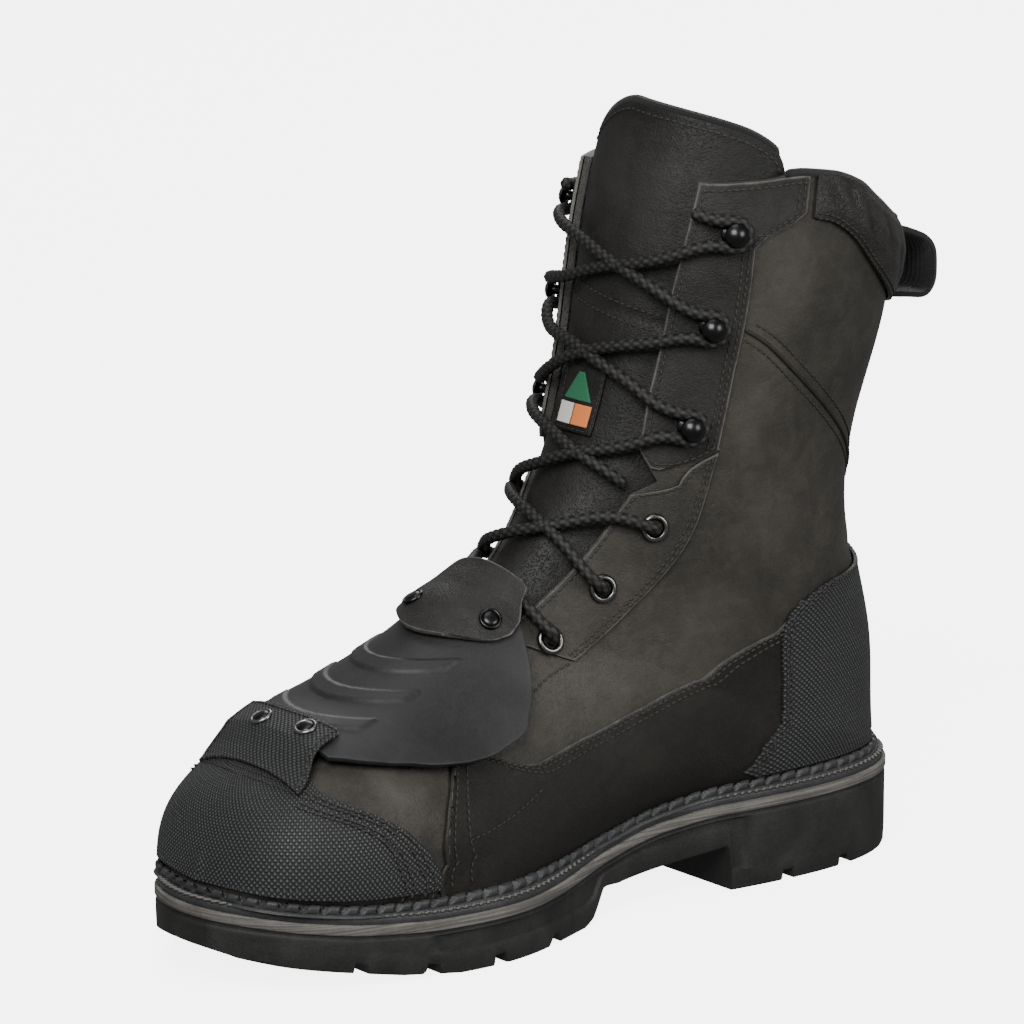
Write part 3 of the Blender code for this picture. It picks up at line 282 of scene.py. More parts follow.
def skin(side: int, row: Array, girth: Array, lift: Array | float = 0.0) -> Array:
    """Points of the upper's outer face.

    Args:
        side: 1 medial, -1 lateral.
        row: 0 above the collar, 10 at the heel's edge, 20 at the toe tip.
        girth: 0 on the ridge, 1 at the back or the lower edge.
        lift: height square to the face.

    Returns:
        Points in mm.
    """
    row, girth = np.broadcast_arrays(np.asarray(row, float), np.asarray(girth, float))
    if np.any(lift):
        da, dg = 0.02, 0.004
        a, g = np.clip(row, da, TOE_ROW - 0.35), np.clip(girth, dg, 1.0 - dg)
        along = skin(side, a + da, g) - skin(side, a - da, g)
        out = np.cross(along, skin(side, a, g + dg) - skin(side, a, g - dg)) * side
        flat = (girth <= 0.0) | ((girth >= 1.0) & (row <= HEEL_ROW - 0.01)) | (row >= TOE_ROW - 0.01)
        out /= np.linalg.norm(out, axis=-1)[..., None]
        out[..., 1] = np.where(flat, 0.0, out[..., 1] * np.clip((TOE_ROW - row) / 0.6, 0.0, 1.0))
        out /= np.linalg.norm(out, axis=-1)[..., None]
        return skin(side, row, girth) + out * np.broadcast_to(np.asarray(lift, float), row.shape)[..., None]
    fx, fz, mid, wide_m, wide_l, tm, pf, pb = np.moveaxis(_form(row), -1, 0)
    wide = wide_m if side > 0 else wide_l
    step = np.clip((row - HEEL_ROW) / (TOE_ROW - HEEL_ROW), 0.0, 1.0)
    base_x = FEATHER_BACK + (FEATHER_TIP - FEATHER_BACK) * (1.0 - np.cos(pi * step)) / 2.0
    half = FEATHER[0 if side > 0 else 1]
    edge = np.abs(np.interp(base_x, half[:, 0], half[:, 1]) - mid)
    on_foot = row > HEEL_ROW
    back = _back(row)
    bx = np.where(on_foot, base_x, back[..., 0])
    bz = np.where(on_foot, feather_line(base_x), back[..., 1])
    edge = np.where(on_foot & (step < 0.9999), edge, 0.0)
    wide = np.maximum(wide, edge * 1.004 + 0.01)
    reach = np.clip(1.0 - (edge / wide) ** pb, 1e-9, 1.0) ** (1.0 / pb)
    end = pi - np.arctan2(edge / wide, reach)
    angle = np.where(girth < 0.5, pi * girth, pi / 2 + (end - pi / 2) * (2.0 * girth - 1.0))
    c, s = np.abs(np.cos(angle)), np.clip(np.sin(angle), 0.0, 1.0)
    power = np.where(angle < pi / 2, pf, pb)
    r = (c ** power + s ** power) ** (-1.0 / power)
    t = np.where(angle < pi / 2, tm - tm * c * r, tm + (1.0 - tm) / reach * c * r)
    y = mid + side * wide * s * r
    return np.stack([fx + (bx - fx) * t, y, fz + (bz - fz) * t], -1)


def face(turn: Array | float, row: Array | float, lift: Array | float = 0.0) -> Array:
    """Point of the upper's face by its signed turn, + medial, - lateral, past 1 on from the back."""
    turn, row, lift = np.broadcast_arrays(*(np.asarray(v, float) for v in (turn, row, lift)))
    lateral = (turn < 0.0) | (turn > 1.0)
    girth = np.where(turn > 1.0, 2.0 - turn, np.abs(turn))
    return np.where(lateral[..., None], skin(-1, row, girth, lift), skin(1, row, girth, lift))


def placed(points: Array) -> Array:
    """Millimetres from the back of the heel to metres in the part's frame."""
    return (np.asarray(points, float) + (HEEL_BACK, 0.0, 0.0)) * MM


def warped(row: Array, girth: Array) -> Array:
    """Row moved down to start at the collar's edge, easing out at the low hook."""
    return row + steady(COLLAR)(girth) * np.clip((5.3 - row) / 5.3, 0.0, 1.0)


def low_edge(side: int, row: Array, over: float) -> Array:
    """Girth at which an overlay on a row stands a height over the midsole's edge."""
    girths = np.linspace(0.4, 1.0, 481)
    points = skin(side, np.asarray(row, float)[:, None], girths[None, :], OVERLAY_TOP)
    clear = points[..., 2] - top_line(points[..., 0]) >= over
    return np.array([girths[np.nonzero(line)[0].max()] if line.any() else girths[0] for line in clear])


def frame_at(turn: float, row: float, lift: float) -> Matrix:
    """Placement on the upper's face, +Z square to it and +X down the boot."""
    here = face(turn, row, lift)
    up = Vector(face(turn, row, lift + 1.0) - here).normalized()
    along = Vector(face(turn, row + 0.1, lift) - here)
    x = (along - up * along.dot(up)).normalized()
    made = Matrix((x, up.cross(x), up)).transposed().to_4x4()
    made.translation = Vector(placed(here))
    return made


# Shader tools.
class Knob:
    """Socket of a shader tree, with arithmetic."""

    def __init__(self, paint: Paint, socket: bpy.types.NodeSocket) -> None:
        """Keep the socket and the paint it belongs to."""
        self.paint, self.socket = paint, socket

    def _math(self, operation: str, first: Any, second: Any) -> Knob:
        """Math node of two values."""
        return self.paint.node("ShaderNodeMath", {"operation": operation}, {0: first, 1: second})

    def __add__(self, other: Any) -> Knob:
        """Sum."""
        return self._math("ADD", self, other)

    def __sub__(self, other: Any) -> Knob:
        """Difference."""
        return self._math("SUBTRACT", self, other)

    def __rsub__(self, other: Any) -> Knob:
        """Difference from a number."""
        return self._math("SUBTRACT", other, self)

    def __mul__(self, other: Any) -> Knob:
        """Product."""
        return self._math("MULTIPLY", self, other)

    __radd__ = __add__
    __rmul__ = __mul__

    def wave(self, pitch: float) -> Knob:
        """Sine of the value over a pitch."""
        return self._math("SINE", self * (2.0 * pi / pitch), 0.0)

    def size(self) -> Knob:
        """Absolute value."""
        return self._math("ABSOLUTE", self, 0.0)

    def step(self, low: float, high: float) -> Knob:
        """Smooth step between two values."""
        settings = {"interpolation_type": "SMOOTHSTEP"}
        return self.paint.node("ShaderNodeMapRange", settings,
                               {"Value": self, "From Min": low, "From Max": high})


class Paint:
    """Material under construction."""

    def __init__(self, name: str, colour: Sequence[float], roughness: float, **constants: Any) -> None:
        """Principled material with constants on its sockets.

        Args:
            name: name of the material.
            colour: base colour, until it is linked.
            roughness: roughness, until it is linked.
            constants: other sockets, with _ for a space.
        """
        self.material = bpy.data.materials.new(name)
        self.material.use_nodes = True
        self.tree = self.material.node_tree
        self.shader = self.tree.nodes["Principled BSDF"]
        self.put(self.shader, {"Base Color": (*colour, 1.0), "Roughness": roughness})
        self.put(self.shader, {key.replace("_", " "): value for key, value in constants.items()})
        self.material.diffuse_color = (*colour, 1.0)

    def put(self, node: bpy.types.Node, sockets: dict[Any, Any]) -> None:
        """Set or link a node's input sockets."""
        for key, value in sockets.items():
            if isinstance(value, Knob):
                self.tree.links.new(value.socket, node.inputs[key])
            else:
                node.inputs[key].default_value = value

    def node(self, kind: str, settings: dict[str, Any], sockets: dict[Any, Any], out: int | str = 0) -> Knob:
        """Add a node.

        Args:
            kind: type of the node.
            settings: its properties, set first.
            sockets: values or links of its inputs.
            out: the output that is wanted.

        Returns:
            The output, ready for arithmetic.
        """
        made = self.tree.nodes.new(kind)
        for key, value in settings.items():
            setattr(made, key, value)
        self.put(made, sockets)
        return Knob(self, made.outputs[out])

    def place(self) -> Knob:
        """Coordinates of the piece."""
        return self.node("ShaderNodeTexCoord", {}, {}, "Object")

    def uv(self, axis: str) -> Knob:
        """One coordinate of the unrolled face, in mm."""
        both = self.node("ShaderNodeUVMap", {"uv_map": "unrolled"}, {})
        return self.node("ShaderNodeSeparateXYZ", {}, {0: both}, axis)

    def value(self, name: str) -> Knob:
        """Value stored on the mesh's points."""
        return self.node("ShaderNodeAttribute", {"attribute_name": name}, {}, "Fac")

    def noise(self, scale: float, detail: float = 3.0, warp: float = 0.0,
              stretch: Sequence[float] | None = None) -> Knob:
        """Noise over the piece's coordinates."""
        where = self.place()
        if stretch:
            where = self.node("ShaderNodeVectorMath", {"operation": "MULTIPLY"}, {0: where, 1: stretch})
        return self.node("ShaderNodeTexNoise", {}, {"Vector": where, "Scale": scale, "Detail": detail,
                                                    "Distortion": warp}, "Fac")

    def cells(self, scale: float) -> Knob:
        """Distance to the nearest cell point."""
        return self.node("ShaderNodeTexVoronoi", {}, {"Vector": self.place(), "Scale": scale}, "Distance")

    def mix(self, share: Any, first: Any, second: Any) -> Knob:
        """Colour between two colours."""
        first = (*first, 1.0) if isinstance(first, tuple) else first
        second = (*second, 1.0) if isinstance(second, tuple) else second
        return self.node("ShaderNodeMix", {"data_type": "RGBA"}, {0: share, 6: first, 7: second}, 2)

    def relief(self, height: Knob, depth: float, strength: float = 1.0) -> None:
        """Bump the face by a height."""
        bump = self.node("ShaderNodeBump", {}, {"Height": height, "Distance": depth, "Strength": strength},
                         "Normal")
        self.put(self.shader, {"Normal": bump})


# Finishes.
@dataclass(frozen=True)
class WornLeatherWithPaintedLight:
    """Oiled leather with a fine grain, rubbed lighter in patches, with a painted highlight along its cut
    edges; the mesh's tone value adds painted highlights and painted shade on some pieces.
    """

    name: str
    dark: tuple[float, float, float]
    light: tuple[float, float, float]
    # edge: colour of the painted highlight along the cut edges.
    edge: tuple[float, float, float] = (0.11, 0.105, 0.095)
    roughness: float = 0.5
    grain: float = 1.0

    def material(self) -> bpy.types.Material:
        """Build the material."""
        paint = Paint(self.name, self.dark, self.roughness, Specular_IOR_Level=0.22)
        cloud = paint.noise(34.0, 5.0, 0.6)
        fine = paint.noise(900.0, 3.0)
        streak = paint.noise(120.0, 4.0, 1.2)
        # worn: wear noise plus the mesh's tone value, which on some pieces holds painted highlights and
        # painted shade.
        worn = (cloud.step(0.3, 0.75) * 0.26 + streak.step(0.35, 0.75) * 0.16 + paint.value("tone")
                + fine * 0.34 - 0.06)
        leather = paint.mix(worn.step(0.0, 1.0), self.dark, self.light)
        # Painted highlight along the cut edges, from the mesh's rim value, broken up by the streak noise.
        edge_highlight = (paint.value("rim") * (0.35 + streak)).step(0.25, 1.1)
        paint.put(paint.shader, {"Base Color": paint.mix(edge_highlight, leather, self.edge),
                                 "Roughness": self.roughness + 0.1 * fine + cloud * 0.12 - 0.1})
        pores = paint.cells(1500.0).step(0.0, 0.6)
        relief = pores * 0.5 + fine * 0.5 + streak * 0.9
        paint.relief(relief, 0.00026 * self.grain, 0.9)
        return paint.material


@dataclass(frozen=True)
class BallisticWeave:
    """Rubberised basket weave of small beads."""

    name: str
    pitch: float = 1.42
    dark: tuple[float, float, float] = (0.004, 0.0042, 0.0044)
    light: tuple[float, float, float] = (0.052, 0.054, 0.055)

    def material(self) -> bpy.types.Material:
        """Build the material."""
        paint = Paint(self.name, self.light, 0.5, Specular_IOR_Level=0.42)
        u, v, turn = paint.uv("X"), paint.uv("Y"), 0.5 ** 0.5
        across, along = ((u + v) * turn).wave(2.0 * self.pitch), ((u - v) * turn).wave(2.0 * self.pitch)
        bead = (across.size() * along.size()).step(0.1, 0.85)
        flip = (across * along).step(-0.05, 0.05)
        tall = bead * (0.72 + 0.28 * flip)
        worn = paint.noise(50.0, 3.0)
        # Beads painted light on their tops and near black in the gaps between them: painted highlight and
        # painted shade, varied by the worn noise.
        paint.put(paint.shader, {"Base Color": paint.mix(tall * (0.55 + 0.7 * worn), self.dark, self.light),
                                 "Roughness": 0.62 - 0.2 * tall + 0.08 * worn})
        paint.relief(tall, 0.0006, 1.0)
        return paint.material


@dataclass(frozen=True)
class Rubber:
    """Moulded rubber with a pebbled or streaked face."""

    name: str
    dark: tuple[float, float, float]
    light: tuple[float, float, float]
    roughness: float = 0.62
    pebble: float = 1100.0
    streaks: float = 0.0

    def material(self) -> bpy.types.Material:
        """Build the material."""
        paint = Paint(self.name, self.dark, self.roughness, Specular_IOR_Level=0.22)
        pebbles = paint.noise(self.pebble, 2.0)
        cloud = paint.noise(60.0, 4.0, 0.4)
        lines = paint.noise(40.0, 5.0, 0.3, (0.6, 0.6, 34.0))
        tone = cloud * 0.6 + pebbles * 0.3 + self.streaks * (lines - 0.5)
        paint.put(paint.shader, {"Base Color": paint.mix(tone.step(0.2, 0.8), self.dark, self.light),
                                 "Roughness": self.roughness + 0.12 * pebbles - 0.06})
        paint.relief(pebbles + self.streaks * lines, 0.00016, 0.8)
        return paint.material


@dataclass(frozen=True)
class SheetPolymer:
    """Smooth sheet with a satin face, faint scuffs and a painted highlight along its edges."""

    name: str
    colour: tuple[float, float, float]

    def material(self) -> bpy.types.Material:
        """Build the material."""
        paint = Paint(self.name, self.colour, 0.42, Specular_IOR_Level=0.3)
        fine = paint.noise(1100.0, 2.0)
        scuff = paint.noise(70.0, 6.0, 1.6)
        # light: colour of the scuffs and of the painted highlight along the edges (rim value).
        light = tuple(1.7 * channel for channel in self.colour)
        share = scuff.step(0.5, 0.85) * 0.6 + fine.step(0.3, 0.75) * 0.5 + paint.value("rim") * 0.5
        paint.put(paint.shader, {"Base Color": paint.mix(share, self.colour, light),
                                 "Roughness": 0.36 + 0.14 * fine + 0.12 * scuff})
        paint.relief(fine, 0.00005, 0.5)
        return paint.material


@dataclass(frozen=True)
class Fabric:
    """Woven tape, lining or yarn, with threads along its unrolled face."""

    name: str
    dark: tuple[float, float, float]
    light: tuple[float, float, float]
    pitch: float = 1.0

    def material(self) -> bpy.types.Material:
        """Build the material."""
        paint = Paint(self.name, self.dark, 0.85, Specular_IOR_Level=0.25, Sheen_Weight=0.15)
        across, along = (paint.uv(axis).wave(self.pitch * 2.0).size() for axis in ("X", "Y"))
        yarn = across * 0.6 + along * 0.4
        fuzz = paint.noise(2400.0, 2.0)
        share = (yarn * (0.4 + fuzz)).step(0.1, 1.0)
        paint.put(paint.shader, {"Base Color": paint.mix(share, self.dark, self.light)})
        paint.relief(yarn + fuzz * 0.7, 0.00018, 0.9)
        return paint.material


@dataclass(frozen=True)
class Cord:
    """Braided polyester, painted lighter on the crowns of its plaits and the tops of its stitches: a painted
    highlight.
    """

    name: str
    dark: tuple[float, float, float]
    light: tuple[float, float, float]
    roughness: float = 0.55

    def material(self) -> bpy.types.Material:
        """Build the material."""
        paint = Paint(self.name, self.dark, self.roughness, Specular_IOR_Level=0.2)
        fuzz = paint.noise(2600.0, 2.0)
        # Painted highlight from the mesh's tone value: plait crowns on the lace, stitch tops on the threads.
        crown_highlight = paint.value("tone") * 0.8 + fuzz * 0.4 - 0.1
        paint.put(paint.shader, {"Base Color": paint.mix(crown_highlight.step(0.0, 1.0), self.dark, self.light)})
        paint.relief(fuzz, 0.00012, 0.8)
        return paint.material


@dataclass(frozen=True)
class Plated:
    """Plated metal."""

    name: str
    colour: tuple[float, float, float]
    roughness: float

    def material(self) -> bpy.types.Material:
        """Build the material."""
        paint = Paint(self.name, self.colour, self.roughness, Metallic=1.0)
        mark = paint.noise(700.0, 3.0)
        paint.put(paint.shader, {"Roughness": self.roughness + 0.14 * mark - 0.05})
        return paint.material


@dataclass(frozen=True)
class Plain:
    """Plain finish of one colour."""

    name: str
    colour: tuple[float, float, float]
    roughness: float = 0.7

    def material(self) -> bpy.types.Material:
        """Build the material."""
        return Paint(self.name, self.colour, self.roughness).material


QUARTER = WornLeatherWithPaintedLight("quarter leather", (0.014, 0.0130, 0.0108), (0.052, 0.047, 0.039), roughness=0.5)
FOXING = WornLeatherWithPaintedLight("foxing leather", (0.0058, 0.0054, 0.0043), (0.019, 0.0172, 0.0135), roughness=0.48)
FACING = WornLeatherWithPaintedLight("facing leather", (0.0068, 0.0066, 0.0061), (0.026, 0.0245, 0.022), roughness=0.48)
PADDED = WornLeatherWithPaintedLight("pad leather", (0.009, 0.0086, 0.008), (0.034, 0.032, 0.029), roughness=0.44, grain=2.4)
TONGUE = WornLeatherWithPaintedLight("tongue leather", (0.0062, 0.006, 0.0056), (0.024, 0.0228, 0.0208), roughness=0.5,
                     grain=1.4)
WEAVE = BallisticWeave("ballistic weave")
OUTSOLE = Rubber("outsole rubber", (0.008, 0.008, 0.0077), (0.029, 0.029, 0.0275))
STRIPE = Rubber("stripe rubber", (0.07, 0.066, 0.059), (0.15, 0.142, 0.128), 0.6, 700.0, 1.6)
LIP = Rubber("welt rubber", (0.019, 0.0193, 0.0197), (0.05, 0.0507, 0.0515), 0.45)
GUARD = SheetPolymer("guard polymer", (0.0125, 0.0125, 0.013))
WEBBING = Fabric("woven webbing", (0.004, 0.004, 0.004), (0.016, 0.0155, 0.015), 1.2)
BINDING = Fabric("binding", (0.003, 0.003, 0.003), (0.012, 0.0115, 0.011), 0.8)
LINING = Fabric("lining", (0.004, 0.004, 0.004), (0.012, 0.012, 0.012), 1.6)
LACE = Cord("lace cord", (0.0028, 0.0028, 0.0028), (0.030, 0.029, 0.027))
THREAD = Cord("sewing thread", (0.0035, 0.0033, 0.003), (0.036, 0.034, 0.030), 0.55)
WELT_THREAD = Cord("welt thread", (0.005, 0.005, 0.005), (0.13, 0.126, 0.118), 0.55)
GUNMETAL = Plated("black plating", (0.032, 0.032, 0.033), 0.26)
NICKEL = Plated("dark nickel", (0.13, 0.127, 0.12), 0.24)
SILVER = Plated("rivet rim", (0.22, 0.215, 0.205), 0.26)
# Near-black disc in each eyelet: painted shade where the hole is.
HOLE_SHADE = Plain("hole", (0.002, 0.002, 0.002), 0.9)


# Meshes.
@dataclass(frozen=True)
class Wrap:
    """Upright round form that a weave follows, with a domed top where it has one."""

    centre: float
    base: float
    radius: float
    ahead: float
    domed: bool

    def flat(self, points: Array) -> Array:
        """Weave coordinates of points, in mm."""
        away = points - (self.centre, 0.0, self.base)
        turn = np.arctan2(away[..., 1], self.ahead * away[..., 0])
        fall = -away[..., 2]
        if self.domed:
            fall = self.radius * np.arccos(away[..., 2] / np.linalg.norm(away, axis=-1))
        return np.stack([self.radius * turn, fall], -1)


@dataclass
class Grid:
    """Grid of points in mm, rows by columns, with its unrolled coordinates and point values."""

    points: Array
    values: dict[str, Array] = field(default_factory=dict)
    wrap: Wrap | None = None

    def flat(self) -> Array:
        """Coordinates for its finish: those of its round form, else the unrolled ones."""
        return self.unrolled() if self.wrap is None else self.wrap.flat(self.points)

    def unrolled(self) -> Array:
        """Coordinates across and along, in mm."""
        across = np.linalg.norm(np.diff(self.points, axis=1), axis=-1).cumsum(1)
        along = np.linalg.norm(np.diff(self.points, axis=0), axis=-1).cumsum(0)
        across = np.concatenate([np.zeros((len(across), 1)), across], 1)
        along = np.concatenate([np.zeros((1, along.shape[1])), along], 0)
        return np.stack([across, along], -1)

    def rim(self, reach: float = 0.8) -> Array:
        """1 on the grid's borders, fading inward over a reach in mm."""
        flat = self.unrolled()
        across, along = flat[..., 0], flat[..., 1]
        near = np.minimum.reduce([across, across[:, -1:] - across, along, along[-1:] - along])
        return np.exp(-near / reach)

    def inset(self, border: Border, depth: float) -> Array:
        """Line at a depth in mm from a border, along the grid."""
        points = self.points
        if border in (Border.END, Border.FOOT):
            points = points[::-1, ::-1]
        if border in (Border.TOP, Border.FOOT):
            points = points.transpose(1, 0, 2)
        line = []
        for strand in points:
            run = run_along(strand)
            line.append([np.interp(depth, run, strand[:, k]) for k in range(3)])
        return np.array(line)


TOE_FORM = Wrap(256.0, 22.0, 52.0, 1.0, True)
HEEL_FORM = Wrap(44.0, 0.0, 40.0, -1.0, False)


def grid_faces(count_i: int, count_j: int, first: int = 0) -> Array:
    """Quads of a grid, facing out for rows down the boot and columns round it to the medial side."""
    i, j = np.meshgrid(np.arange(count_i - 1), np.arange(count_j - 1), indexing="ij")
    corner = (first + i * count_j + j).ravel()
    return np.stack([corner, corner + count_j, corner + count_j + 1, corner + 1], -1)


def mesh_of(name: str, points: Array, faces: Sequence[Sequence[int]], flat: Array | None = None,
            values: dict[str, Array] | None = None, join: float = 0.0) -> bpy.types.Mesh:
    """Mesh of points in mm.

    Args:
        name: name of the mesh.
        points: points, one a row.
        faces: corners of each face.
        flat: unrolled coordinates of each point, in mm.
        values: values of each point.
        join: distance in mm below which points are welded.

    Returns:
        The mesh, shaded smooth.
    """
    mesh = bpy.data.meshes.new(name)
    mesh.from_pydata(placed(points).tolist(), [], [tuple(int(c) for c in f) for f in faces])
    corners = np.empty(len(mesh.loops), dtype=np.int32)
    mesh.loops.foreach_get("vertex_index", corners)
    layer = mesh.uv_layers.new(name="unrolled")
    flat = np.zeros((len(points), 2)) if flat is None else flat
    layer.data.foreach_set("uv", flat[corners].astype(np.float32).ravel())
    for key, value in {"tone": np.zeros(len(points)), "rim": np.zeros(len(points)), **(values or {})}.items():
        made = mesh.attributes.new(key, "FLOAT", "POINT")
        made.data.foreach_set("value", np.asarray(value, np.float32).ravel())
    if join:
        work = bmesh.new()
        work.from_mesh(mesh)
        bmesh.ops.remove_doubles(work, verts=work.verts, dist=join * MM)
        bmesh.ops.dissolve_degenerate(work, edges=work.edges, dist=0.01 * MM)
        work.to_mesh(mesh)
        work.free()
    mesh.shade_smooth()
    return mesh


def face_out(mesh: bpy.types.Mesh) -> None:
    """Turn a mesh's faces outward."""
    work = bmesh.new()
    work.from_mesh(mesh)
    bmesh.ops.recalc_face_normals(work, faces=work.faces)
    work.to_mesh(mesh)
    work.free()


def finish_piece(name: str, mesh: bpy.types.Mesh, looks: Sequence[Any],
                 nodes: Sequence[str]) -> Any:
    """Put a mesh in the scene as a piece of the boot.

    Args:
        name: name of the piece.
        mesh: its mesh.
        looks: its finishes.
        nodes: nodes of the frame that it replaces.

    Returns:
        The object.
    """
    made = bpy.data.objects.new(name, mesh)
    bpy.context.scene.collection.objects.link(made)
    for look in looks:
        ready = bpy.data.materials.get(look.name) or look.material()
        mesh.materials.append(ready)
    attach(made, "root")
    if nodes:
        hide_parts(*nodes)
    log.info("piece %s: %d faces", name, len(mesh.polygons))
    return made


def soften(made: Any, width: float) -> None:
    """Bevel the sharp edges of a piece."""
    bevel = made.modifiers.new("soft edge", "BEVEL")
    bevel.width = width * MM
    bevel.segments = 2
    bevel.limit_method = "ANGLE"
    bevel.angle_limit = 0.9
    bevel.harden_normals = False


def sheet(name: str, grids: Sequence[Grid], thickness: float, looks: Sequence[Any],
          nodes: Sequence[str] = (), join: float = 0.12, edge: float = 0.3, lined: bool = False) -> Any:
    """Sheet of leather or weave: grids welded where they meet and thickened inward.

    Args:
        name: name of the piece.
        grids: its outer face.
        thickness: thickness in mm.
        looks: finishes, the second one for a lining.
        nodes: nodes that it replaces.
        join: welding distance in mm.
        edge: width of the softened edge in mm.
        lined: whether the inner face takes the second finish.

    Returns:
        The object.
    """
    points, faces, flat, values, first = [], [], [], {"tone": [], "rim": []}, 0
    for grid in grids:
        rows, columns = grid.points.shape[:2]
        points.append(grid.points.reshape(-1, 3))
        faces.append(grid_faces(rows, columns, first))
        flat.append(grid.flat().reshape(-1, 2))
        for key, kept in values.items():
            kept.append(grid.values.get(key, np.zeros((rows, columns))).ravel())
        first += rows * columns
    mesh = mesh_of(name, np.concatenate(points), np.concatenate(faces), np.concatenate(flat),
                   {key: np.concatenate(kept) for key, kept in values.items()}, join)
    made = finish_piece(name, mesh, looks, nodes)
    solid = made.modifiers.new("wall", "SOLIDIFY")
    solid.thickness = thickness * MM
    solid.offset = -1.0
    if lined:
        solid.material_offset = 1
    soften(made, edge)
    return made


def block(name: str, outer: Grid, inner: Array, looks: Sequence[Any], nodes: Sequence[str] = (),
          edge: float = 0.5) -> Any:
    """Closed piece between an outer and an inner grid.

    Args:
        name: name of the piece.
        outer: grid of the outer face.
        inner: points of the inner face.
        looks: finishes.
        nodes: nodes that it replaces.
        edge: width of the softened edge in mm.

    Returns:
        The object.
    """
    rows, columns = outer.points.shape[:2]
    count = rows * columns
    faces = [tuple(f) for f in grid_faces(rows, columns)]
    faces += [tuple(reversed(tuple(f))) for f in grid_faces(rows, columns, count)]
    ring = ([(i, 0) for i in range(rows)] + [(rows - 1, j) for j in range(1, columns)]
            + [(i, columns - 1) for i in range(rows - 2, -1, -1)]
            + [(0, j) for j in range(columns - 2, 0, -1)])
    line = [i * columns + j for i, j in ring]
    faces += [(b, a, a + count, b + count) for a, b in zip(line, line[1:] + line[:1])]
    flat = outer.unrolled().reshape(-1, 2)
    values = {key: np.concatenate([value.ravel(), value.ravel()]) for key, value in outer.values.items()}
    points = np.concatenate([outer.points.reshape(-1, 3), inner.reshape(-1, 3)])
    made = finish_piece(name, mesh_of(name, points, faces, np.concatenate([flat, flat]), values), looks,
                        nodes)
    soften(made, edge)
    return made


def closed_loft(name: str, loops: Sequence[Array], looks: Sequence[Any],
                nodes: Sequence[str] = ()) -> Any:
    """Band through closed loops from the foot up, open above and below where other pieces cover it."""
    rings = np.stack([np.concatenate([loop, loop[:1]]) for loop in loops[::-1]])
    grid = Grid(rings)
    rows, columns = rings.shape[:2]
    mesh = mesh_of(name, rings.reshape(-1, 3), grid_faces(rows, columns)[:, ::-1],
                   grid.unrolled().reshape(-1, 2),
                   join=0.01)
    return finish_piece(name, mesh, looks, nodes)


# Threads.
class Thread:
    """Stitches of one sub-assembly, gathered into one mesh."""

    def __init__(self, name: str, look: Any = THREAD) -> None:
        """Start with no stitches."""
        self.name, self.look = name, look
        self.points: list[Array] = []
        self.faces: list[Array] = []
        self.tones: list[Array] = []
        self.count = 0
        rings = ((-1.0, 0.35), (-0.75, 0.85), (0.0, 1.0), (0.75, 0.85), (1.0, 0.35))
        sides = 6
        self.shape = np.array([(along, wide * cos(2 * pi * k / sides), wide * sin(2 * pi * k / sides))
                               for along, wide in rings for k in range(sides)])
        self.quads = [(r * sides + k, r * sides + (k + 1) % sides, (r + 1) * sides + (k + 1) % sides,
                       (r + 1) * sides + k) for r in range(len(rings) - 1) for k in range(sides)]
        last = (len(rings) - 1) * sides
        self.caps = [tuple(range(sides - 1, -1, -1)), tuple(last + k for k in range(sides))]

    def stitch(self, centre: Array, way: Array, out: Array, length: float, radius: float) -> None:
        """One stitch about a centre, along a way, with its height along out."""
        across = np.cross(out, way)
        local = self.shape * (length / 2.0, radius, radius * 0.8)
        self.points.append(centre + local[:, :1] * way + local[:, 1:2] * across + local[:, 2:] * out)
        first = self.count
        self.faces += [tuple(first + c for c in f) for f in self.quads + self.caps]
        # Each stitch painted lighter on its top and darker underneath: painted highlight and painted shade,
        # read by the cord finish.
        self.tones.append(0.25 + 0.75 * np.clip(self.shape[:, 2], 0.0, 1.0))
        self.count += len(self.shape)

    def row(self, line: Array, outward: Array, pitch: float = 2.7, radius: float = 0.42, share: float = 0.74,
            tilt: float = 0.0) -> None:
        """Row of stitches along a line.

        Args:
            line: points of the line, in mm.
            outward: direction off the face at each point.
            pitch: distance between stitches.
            radius: half the thread's thickness.
            share: stitch's length as a share of the pitch.
            tilt: turn of each stitch in the face.
        """
        run = run_along(line)
        spots = np.arange(pitch, run[-1] - pitch * 0.5, pitch)
        for spot in spots:
            centre = np.array([np.interp(spot, run, line[:, k]) for k in range(3)])
            ahead = np.array([np.interp(spot + 0.6, run, line[:, k]) for k in range(3)])
            out = np.array([np.interp(spot, run, outward[:, k]) for k in range(3)])
            way = ahead - centre
            way /= np.linalg.norm(way) + 1e-9
            out -= way * (out @ way)
            out /= np.linalg.norm(out) + 1e-9
            way = way * cos(tilt) + np.cross(out, way) * sin(tilt)
            self.stitch(centre + out * radius * 0.35, way, out, pitch * share, radius)

    def on_grid(self, grid: Grid, border: Border, depth: float, **sizes: float) -> None:
        """Row at a depth from a grid's border."""
        line = grid.inset(border, depth)
        self.row(line, outward_of(line), **sizes)

    def on_face(self, side: Side, path: Sequence[tuple[float, float]], lift: float, **sizes: float) -> None:
        """Row along a path of (row, girth) on the upper's face."""
        line = path_on(side, path, lift)
        self.row(line, outward_of(line), **sizes)

    def done(self) -> Any:
        """Put the stitches in the scene."""
        mesh = mesh_of(self.name, np.concatenate(self.points), self.faces,
                       values={"tone": np.concatenate(self.tones)})
        return finish_piece(self.name, mesh, [self.look], ())


def smooth_path(points: Array, step: float) -> Array:
    """Spline through points, sampled at a step."""
    points = np.asarray(points, float)
    run = run_along(points)
    return spline(run, points)(np.arange(0.0, run[-1], step))


